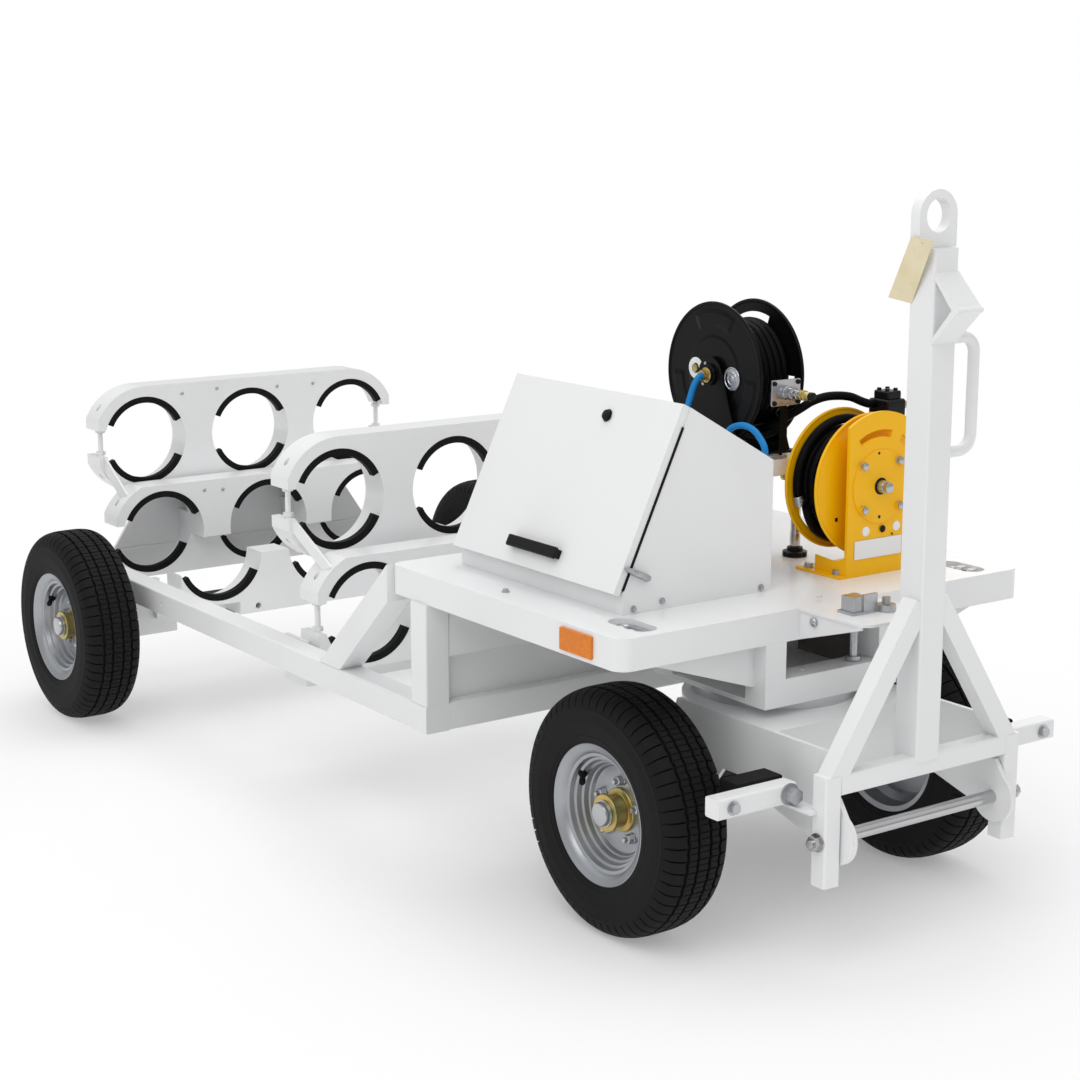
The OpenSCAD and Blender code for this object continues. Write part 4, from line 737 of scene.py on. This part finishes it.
# The black reel's walls: radius of their rolled rim, of its bead, half their thickness, and the face's rows
RIM_R, RIM_BEAD, HALF_WALL, FACE_ROWS = 0.175, 0.005, 0.0015, 60
NEAR_WALL, FAR_WALL = 0.0785, 0.2115


def rim_rows():
    """Open circle of the rolled rim, from the front face round to the back one: radius and distance out."""
    t = np.radians(np.linspace(162, -162, 19))
    return RIM_R + RIM_BEAD * np.cos(t), RIM_BEAD * np.sin(t)


def on_reel(y, x=0, z=0):
    """A place y along the black reel's axle, and x ahead of it and z above it, in millimetres."""
    return np.array([BLACK_AT[0] + x / 1000, y / 1000, BLACK_AT[1] + z / 1000])


def round_black(r, turn, y):
    """Places round the black reel's axle, at a radius, an angle and a place along Y."""
    return np.stack([BLACK_AT[0] + r * np.sin(turn), y + 0 * r, BLACK_AT[1] + r * np.cos(turn)], -1)


def near_wall(drum):
    """The wall with three raised pads and a rolled rim, pressed from one sheet."""
    half, t = HALF_WALL, np.linspace(0, 2 * np.pi, 192, endpoint=False)
    rim_r, rim_out = rim_rows()
    inner = RIM_R - RIM_BEAD
    radii = np.concatenate([np.linspace(0.02, inner, FACE_ROWS), rim_r, np.linspace(inner, 0.02, 3)])
    r, turn = np.meshgrid(radii, t, indexing="ij")
    flat = np.concatenate([np.full(FACE_ROWS, half), rim_out, np.full(3, -half)])[:, None]
    from_pad = np.abs((turn + np.pi / 3) % (2 * np.pi / 3) - np.pi / 3)
    pad = eased(r, 0.117, 0.123) * eased(-r, -0.160, -0.154) * eased(-from_pad, -0.50, -0.44)
    raised = 0.0026 * pad + 0.0012 * eased(-r, -0.097, -0.091)
    out = flat + np.where(np.arange(len(r))[:, None] < FACE_ROWS - 1, raised, 0)
    drum.rings(round_black(r, turn, NEAR_WALL - out))


def far_wall(drum):
    """The wall with three windows: a disc, a rolled ring and three spokes between them."""
    half, (rim_r, rim_out) = HALF_WALL, rim_rows()
    middle = (BLACK_AT[0], FAR_WALL, BLACK_AT[1])
    disc = [(-half, 0.02), (-half, 0.124), (half, 0.124), (half, 0.02)]
    drum.rings(turned(disc, middle, LEFT, 120))
    ring = [(-half, 0.148), *zip(rim_out[::-1], rim_r[::-1]), (half, 0.148)]
    drum.rings(turned(ring, middle, LEFT, 120), wrap=True)
    spoke_r = np.array([[0.1235, 0.1235, 0.1485, 0.1485]])
    spoke_y = np.array([[-half, half, half, -half]]) + FAR_WALL
    for k in range(3):
        span = np.radians(np.linspace(20, 90, 18) + 120 * k)[:, None]
        drum.rings(round_black(spoke_r + 0 * span, span, spoke_y))


def black_stand():
    """The black reel's two side plates with their foot, post and bearing."""
    stand = Shell()
    arc = np.radians(np.linspace(24.2, 155.8, 25))
    side = np.vstack([[(-0.120, -0.192), (0.120, -0.192)], 0.0439 * np.c_[np.cos(arc), np.sin(arc)]])
    for y in (67, 228):
        stand.rings(prism(side, on_reel(y), FORE, UP, 0.004, 0.0006))
    stand.slab(260, 190, 4, on_reel(145, 0, -192), FORE, LEFT, 6, 0.8)
    stand.slab(22, 187, 1, front(-152, 142, 1128.7), LEFT, UP, 6, 0.5)
    stand.lathe([(0, 27), (7, 27), (8.5, 25.5), (8.5, 20.3)], on_reel(63), -LEFT, 40)
    stand.make("tall_stand", "chassis", "black_paint", "reel_black", "black_reel_stand")


class CART_OT_black_reel(bpy.types.Operator):
    """The tall reel's pressed near wall, far wall with three windows, hub and stand"""

    bl_idname = "cart.black_reel"
    bl_label = "Tall reel"

    def execute(self, context):
        drum = Shell()
        near_wall(drum)
        far_wall(drum)
        hub = [(50, 18), (52, 20), (76.5, 20), (76.5, 36), (78, 37), (212, 37), (214, 34), (214, 20),
               (236, 20), (238, 18)]
        drum.lathe(hub, (BLACK_AT[0], 0, BLACK_AT[1]), LEFT, 48)
        drum.make("tall_drum", "black_drum", "black_paint", "reel_black", "black_reel_drum")
        black_stand()
        return {"FINISHED"}


def black_discs():
    """What is fastened to the black reel's near wall: swivel, discs, screws and ring."""
    gold, bright, white = Shell(), Shell(), Shell()
    swivel = [(0, 13.2), (3, 15.5), (6, 18.8), (12, 18.8), (13.5, 15), (16.5, 14.8), (17, 11.8),
              (21.5, 11.8), (22, 13.2), (26.5, 12.6)]
    gold.lathe(swivel, on_reel(62), -LEFT, 40)
    gold.lathe([(0, 10.5), (1, 11), (6, 11), (7, 9), (7, 4)], on_reel(75.6, -68, 9), -LEFT, 6)
    gold.make("reel_swivel", "black_drum", "gold_zinc", "gold_zinc")
    medal = [(0, 28.8), (3, 29.2), (4.2, 27.8), (4.2, 26.2), (2.6, 24.8), (2.6, 18.2), (4.4, 16.8),
             (4.4, 14.2), (3, 12.8), (3, 7.2), (4.6, 5.8), (4.8, 3)]
    bright.lathe(medal, on_reel(76.2, 72, -4), -LEFT, 56)
    for dx, dz in ((-14, 27), (-22, -24)):
        bolt(bright, on_reel(62.8, dx, dz), -LEFT, 8.5, 4)
    bright.make("reel_discs", "black_drum", "zinc", "zinc")
    ring = [(0, 12.5), (0, 26.6), (1.2, 27.2), (2, 26.6), (2, 12.5)]
    white.lathe(ring, on_reel(75.9, -68, 9), -LEFT, 48, wrap=True)
    white.make("reel_ring", "black_drum", "white_paint", "frame_white")


def outlet_and_stop():
    """The black reel's outlet valve with its pipes, and the stop of its hose."""
    plate, ends, dark = Shell(), Shell(), Shell()
    plate.slab(92, 64, 4, front(-146, 142, 1193), LEFT, UP, 5.2, 0.8)
    for a in (-38, 38):
        for b in (-24, 24):
            bolt(dark, front(-140.8, 142 + a, 1193 + b), FORE, 8.5, 4, 12)
    body = [(0, 16.5), (1, 17.2), (7, 17.2), (8, 15), (18, 14.8), (19, 16.8), (29, 16.8), (30, 11.8),
            (35, 11.8), (36, 12.8), (45, 12.8), (46, 10.5), (55, 10.5)]
    plate.lathe(body, front(-141, 142, 1193), FORE, 36)
    for px, reach in ((-150, 138), (-164, 128)):
        plate.rings(tube([front(px, a, 1036) for a in np.linspace(0, reach, 6)], 0.005, 14))
    bolt(plate, front(-150, 138, 1036), LEFT, 16, 14)
    plate.make("outlet_valve", "chassis", "zinc", "zinc", "outlet_plate")
    ends.lathe([(0, 11.5), (1, 12.6), (5, 12.6), (6, 10.8), (9, 10.8), (10, 12.6), (15, 12.6),
                (16, 10.2), (26, 9.8), (27.5, 8.5), (31, 8.5)], front(-86, 142, 1193), FORE, 32)
    ends.lathe([(0, 12.5), (1, 13.2), (12, 13.2), (13.5, 11.5), (15, 11.5), (16, 13), (22.5, 13),
                (23.5, 9), (31.8, 9)], front(-58, 432.2, 1148), LEFT, 32)
    ends.make("brass_ends", "chassis", "gold_zinc", "gold_zinc")
    dark.lathe([(0, 9.6), (0.8, 10.6), (11, 10.6), (13, 8)], front(-55.2, 142, 1193), FORE, 28)
    dark.slab(68, 44, 7, front(-58, 432, 1146), FORE, UP, 62, 3)
    dark.slab(52, 22, 5, front(-58, 424, 1177), FORE, UP, 46, 3)
    for k in (-14, 14):
        for y in (386, 414):
            bolt(dark, front(-58 + k, y, 1188), UP, 10, 6)
    dark.make("hose_bumper", "chassis", "black_plastic", "black_plastic", "hose_stop")


def yellow_fittings():
    """The yellow reel's bolts, shaft, slots and plates, black discs of painted shade in its holes, and the
    ferrule on its hose.
    """
    nuts, hole_shade_and_cap, cards = Shell(), Shell(), Shell()
    for py, pz in ((226, 1030), (344, 1033), (230, 922), (348, 922)):
        bolt(nuts, front(46, py, pz), FORE, 17.5, 9, 21)
    shaft = [(0, 15.5), (18, 15.5), (19.5, 14.5), (19.6, 12.8), (31, 12.8), (32, 11.5)]
    nuts.lathe(shaft, front(45.5, 287, 975), FORE, 36)
    for px in (-91, 9):
        for py in (185, 389):
            bolt(nuts, front(px, py, 764.1), UP, 19.5, 9, 26)
    nuts.make("reel_bolts", "chassis", "zinc", "zinc")
    # Black discs in the holes and a small black square on the disc: painted shade inside the holes; the
    # black dome beside them is a cap
    for py, pz, size in ((277.5, 1056.5, 3.6), (284.5, 900, 4.2), (329.7, 853, 3), (287, 975, 21)):
        hole = [(0, size - 0.2), (0.2, size), (0.5, size), (0.6, size - 0.3)]
        hole_shade_and_cap.lathe(hole, front(45.8, py, pz), FORE, 28)
    dome(hole_shade_and_cap, front(46, 297, 869), FORE, 18, 5)
    hole_shade_and_cap.slab(9, 10, 1, front(2.6, 184, 897), LEFT, UP, 0.8, 0.2)
    hole_shade_and_cap.make("reel_hole_shade_and_cap", "chassis", "black_plastic", "black_plastic")
    for py, pz in ((244, 868), (346, 870.5)):
        cards.lathe([(0, 11.8), (0.4, 12.2), (0.8, 11.8)], front(43.1, py, pz), FORE, 32)
    cards.slab(156, 46, 4, front(43.2, 285, 824), LEFT, UP, 1.8, 0.5)
    cards.make("bare_plate", "chassis", "white_paint", "frame_white")
    ferrule = Shell()
    turn = math.radians(-106)
    along = np.array([0, np.cos(turn), -np.sin(turn)])
    middle = np.array([AHEAD - 0.089, *(YELLOW_AT + OUTER_R * np.array([np.sin(turn), np.cos(turn)]))])
    band = [(-13, 12.8), (-12, 13.8), (12, 13.8), (13, 12.8)]
    ferrule.lathe(band, middle, along, 32)
    bolt(ferrule, middle + 0.0125 * FORE, FORE, 14, 6)
    ferrule.make("hose_ferrule", "yellow_drum", "zinc", "zinc")


class CART_OT_reel_fittings(bpy.types.Operator):
    """Swivel, discs, outlet valve and hose stop of the black reel, bolts and plates of the yellow one"""

    bl_idname = "cart.reel_fittings"
    bl_label = "Reel fittings"

    def execute(self, context):
        black_discs()
        outlet_and_stop()
        yellow_fittings()
        return {"FINISHED"}


class CART_OT_valve_column(bpy.types.Operator):
    """The shut-off valve that stands on the deck behind the small reel"""

    bl_idname = "cart.valve_column"
    bl_label = "Valve column"

    def execute(self, context):
        at = front(-228, 262, 758)
        stem, foot, brass = Shell(), Shell(), Shell()
        stem.lathe([(22, 12.5), (24, 13.2), (60, 13.2), (61, 12.2), (100, 12.2), (101, 13.4), (138, 13.4),
                    (140, 10.5), (162, 10.5)], at, UP, 36)
        stem.make("valve_stem", "chassis", "zinc", "ground_steel", "valve_column")
        t = np.linspace(0, 2 * np.pi, 72, endpoint=False)
        knob = 0.032 - 0.0022 * np.maximum(0, np.cos(8 * t))
        rows = [(0.0003, knob - 0.003), (0.002, knob), (0.012, knob), (0.0138, knob - 0.003),
                (0.0142, 0 * t + 0.021), (0.0235, 0 * t + 0.0198), (0.0242, 0 * t + 0.017)]
        around = np.stack([np.cos(t), np.sin(t), 0 * t], -1)
        foot.rings(np.array([at + h * UP + r[:, None] * around for h, r in rows]))
        foot.make("valve_foot", "chassis", "black_plastic", "black_plastic")
        bolt(brass, at + 0.162 * UP, UP, 29, 22)
        neck = [(183, 13.5), (185, 14.2), (208, 14.2), (209, 16.5), (221, 16.5), (222, 15)]
        brass.lathe(neck, at, UP, 36)
        through = [(0, 10), (1, 10.8), (12, 10.8), (13, 9.2), (44, 9.2), (45, 10.8), (59, 10.8), (60, 9.5)]
        brass.lathe(through, at + [-0.05, 0, 0.198], FORE, 32)
        brass.make("valve_head", "chassis", "gold_zinc", "gold_zinc")
        return {"FINISHED"}


class CART_OT_screws(bpy.types.Operator):
    """Screws of the control box, the deck and the racks"""

    bl_idname = "cart.screws"
    bl_label = "Screws"

    def execute(self, context):
        screws = Shell()
        for y, z in ((-449.7, 769.6), (-367.6, 776.8), (-72, 769)):
            bolt(screws, front(24.05, y, z), FORE, 10, 5, 16)
        bolt(screws, front(-317.9, -562.6, 758.05), UP, 12, 6, 20)
        for x, marks in ((-2665.2, ((-248, 936), (-121, 943), (105, 932), (243, 932))),
                         (-2550.2, ((-235, 628), (-168, 624)))):
            for y, z in marks:
                dome(screws, front(x, y, z), FORE, 13, 4)
        dome(screws, front(250, -110, 735.6), -LEFT, 22, 7)
        for y in (-31, -20):
            dome(screws, front(176, y, 767.9), UP, 7, 1.5)
        screws.make("screws", "chassis", "zinc", "zinc")
        pin = Shell()
        shank = [(0, 8.5), (1.5, 10), (208.5, 10), (210, 9.5)]
        collar = [(0, 17.8), (1.2, 19), (10.8, 19), (12, 17.8)]
        pin.lathe(shank, front(166, 97, 537), UP, 36)
        pin.lathe(collar, front(166, 97, 597.3), UP, 36)
        pin.make("plain_pin", "lock_pin", "zinc", "zinc", "lock_pin")
        return {"FINISHED"}


class CART_OT_trim(bpy.types.Operator):
    """Reflectors, the door's seal, the pads behind the steering arms and the wall behind the neck in
    painted shade
    """

    bl_idname = "cart.trim"
    bl_label = "Trim"

    def execute(self, context):
        lenses, pads, seal, cap, wall = (Shell() for _ in range(5))
        for k in (-1, 1):
            lenses.slab(118, 52, 3, front(47, k * 622, 722), -k * FORE, UP, 7, 1.2)
            pads.slab(62, 130, 4, front(340, k * 365, 381), FORE, LEFT, 64, 3)
        lenses.make("lenses", "chassis", "amber", "amber_lens", "reflectors")
        pads.make("short_pads", "tow_bar", "rubber", "strip_rubber", "brake_pads")
        # Black up to 45 mm below the ridge, white above it
        for x, edge in ((-625, -632.5), (17, 24.5)):
            seal.rings(tube([on_door(s, -20.8, edge) for s in np.linspace(3, 395, 12)], 0.0034, 10))
            for low, high, shell in ((2, 394, seal), (394, 438, cap)):
                middle = on_door((low + high) / 2, -23.2, x)
                shell.slab(12, high - low, 0.5, middle, FORE, UP_DOOR, 4.8, 0.3)
        for s, shell in ((8, seal), (432, cap)):
            shell.slab(630, 12, 0.5, on_door(s, -23.2, -304), FORE, UP_DOOR, 4.8, 0.3)
        seal.make("side_seal", "chassis", "rubber", "strip_rubber", "door_seal")
        cap.make("seal_cap", "chassis", "white_paint", "frame_white")
        # The walls behind the neck are painted dark grey: painted shade of the box's unlit inside
        wall.slab(290, 144, 2, front(-170, 0, 612), LEFT, UP, 4, 0.5)
        wall.slab(266, 144, 2, front(-2, 196, 612), -FORE, UP, 4, 0.5)
        wall.make("neck_wall", "chassis", "white_paint", "inside_grey")
        return {"FINISHED"}


def set_camera(scene, looks):
    """The camera that looks at the cart as the photo does."""
    camera = bpy.data.objects.new("camera", bpy.data.cameras.new("camera"))
    scene.collection.objects.link(camera)
    camera.data.sensor_width, camera.data.lens = 36.0, looks.lens
    camera.location = looks.camera_at
    camera.rotation_euler = (math.pi / 2 - looks.camera_dip, 0.0, looks.camera_heading)
    camera.data.clip_end = 200.0
    scene.camera = camera
    scene.view_settings.view_transform = "Standard"


def set_room(scene, looks):
    """Even light from all round; the camera itself sees plain white."""
    world = bpy.data.worlds.new("room")
    world.use_nodes = True
    scene.world = world
    tree = world.node_tree
    tree.nodes.clear()
    path = tree.nodes.new("ShaderNodeLightPath")
    lit, seen, pick, output = (tree.nodes.new(k) for k in (
        "ShaderNodeBackground", "ShaderNodeBackground", "ShaderNodeMixShader", "ShaderNodeOutputWorld"))
    seen.inputs["Strength"].default_value = 1.0
    for background in (lit, seen):
        background.inputs["Color"].default_value = (1, 1, 1, 1)
    # The room is darker near the horizon, so that bare metal and black paint have something to show
    way, split, rise = (tree.nodes.new(k) for k in (
        "ShaderNodeTexCoord", "ShaderNodeSeparateXYZ", "ShaderNodeMapRange"))
    rise.interpolation_type = "SMOOTHSTEP"
    for socket, number in (("From Min", -0.02), ("From Max", 0.5), ("To Min", looks.sky * 0.42),
                           ("To Max", looks.sky)):
        rise.inputs[socket].default_value = number
    direct = tree.nodes.new("ShaderNodeMath")
    direct.operation, direct.use_clamp = "ADD", True
    for start, end in ((way.outputs["Generated"], split.inputs[0]),
                       (split.outputs[2], rise.inputs["Value"]),
                       (rise.outputs["Result"], lit.inputs["Strength"]),
                       (path.outputs["Is Camera Ray"], direct.inputs[0]),
                       (path.outputs["Is Transmission Ray"], direct.inputs[1]),
                       (direct.outputs[0], pick.inputs[0]), (lit.outputs[0], pick.inputs[1]),
                       (seen.outputs[0], pick.inputs[2]), (pick.outputs[0], output.inputs["Surface"])):
        tree.links.new(start, end)


def set_floor(scene):
    """A white floor that fades into the room."""
    mesh = bpy.data.meshes.new("floor")
    mesh.from_pydata([(-40, -40, 0), (40, -40, 0), (40, 40, 0), (-40, 40, 0)], [], [(0, 1, 2, 3)])
    floor = bpy.data.objects.new("floor", mesh)
    scene.collection.objects.link(floor)
    f = Finish("floor_white")
    far = f.add("ShaderNodeVectorMath", {"operation": "LENGTH"}, {0: f.place}, 1)
    diffuse = f.add("ShaderNodeBsdfDiffuse", {}, {"Color": (0.93, 0.93, 0.93, 1)})
    glow = f.add("ShaderNodeEmission", {}, {"Color": (1, 1, 1, 1), "Strength": 1.0})
    mesh.materials.append(f.material)
    f.add_output(f.add("ShaderNodeMixShader", {}, {0: far.between(0.2, 3.2), 1: diffuse, 2: glow}))


def set_lamps(scene, looks):
    """Three large lamps, all aimed at the middle of the cart."""
    for name, at, size, power in (("key", (2.6, -3.4, 4.6), 3.4, looks.key_power),
                                  ("top", (-0.6, 0.6, 5.2), 4.0, looks.key_power * 1.2),
                                  ("far_side", (-2.0, 5.0, 2.6), 3.0, looks.key_power * 0.4)):
        lamp = bpy.data.objects.new(name, bpy.data.lights.new(name, "AREA"))
        scene.collection.objects.link(lamp)
        lamp.data.size, lamp.data.energy = size, power
        lamp.location = at
        aim = np.array([0.1, 0.0, 0.5]) - np.array(at)
        lamp.rotation_euler = (math.acos(-aim[2] / np.linalg.norm(aim)), 0.0,
                               math.atan2(aim[1], aim[0]) - math.pi / 2)


class CART_OT_stage(bpy.types.Operator):
    """Sets the floor, the lamps, the room and the camera"""

    bl_idname = "cart.stage"
    bl_label = "Stage"

    def execute(self, context):
        scene = context.scene
        set_camera(scene, scene.stage_looks)
        set_room(scene, scene.stage_looks)
        set_floor(scene)
        set_lamps(scene, scene.stage_looks)
        return {"FINISHED"}


class CART_PT_panel(bpy.types.Panel):
    """Lists the cart's operators in the sidebar"""

    bl_idname = "CART_PT_panel"
    bl_label = "Gas cylinder cart"
    bl_space_type = "VIEW_3D"
    bl_region_type = "UI"
    bl_category = "Cart"

    def draw(self, context):
        scene = context.scene
        for group in (scene.cart_looks, scene.cart_sizes, scene.stage_looks):
            for key in group.__annotations__:
                self.layout.prop(group, key)
        for operator in OPERATORS:
            self.layout.operator(operator.bl_idname)


OPERATORS = [CART_OT_stage, CART_OT_finish_frame, CART_OT_tyres, CART_OT_windings, CART_OT_hoses,
             CART_OT_door_fittings, CART_OT_wheel_centres, CART_OT_black_reel, CART_OT_reel_fittings,
             CART_OT_valve_column, CART_OT_screws, CART_OT_trim]
GROUPS = {"cart_looks": CartLooks, "cart_sizes": CartSizes, "stage_looks": StageLooks}


def register():
    """Registers the classes and their settings on the scene."""
    for cls in (*GROUPS.values(), *OPERATORS, CART_PT_panel):
        bpy.utils.register_class(cls)
    for key, group in GROUPS.items():
        setattr(bpy.types.Scene, key, bpy.props.PointerProperty(type=group))


def unregister():
    """Takes back all that register did."""
    for key in GROUPS:
        delattr(bpy.types.Scene, key)
    for cls in reversed((*GROUPS.values(), *OPERATORS, CART_PT_panel)):
        bpy.utils.unregister_class(cls)


def main():
    register()
    for operator in OPERATORS:
        group, name = operator.bl_idname.split(".")
        getattr(getattr(bpy.ops, group), name)()


if __name__ == "__main__":
    main()
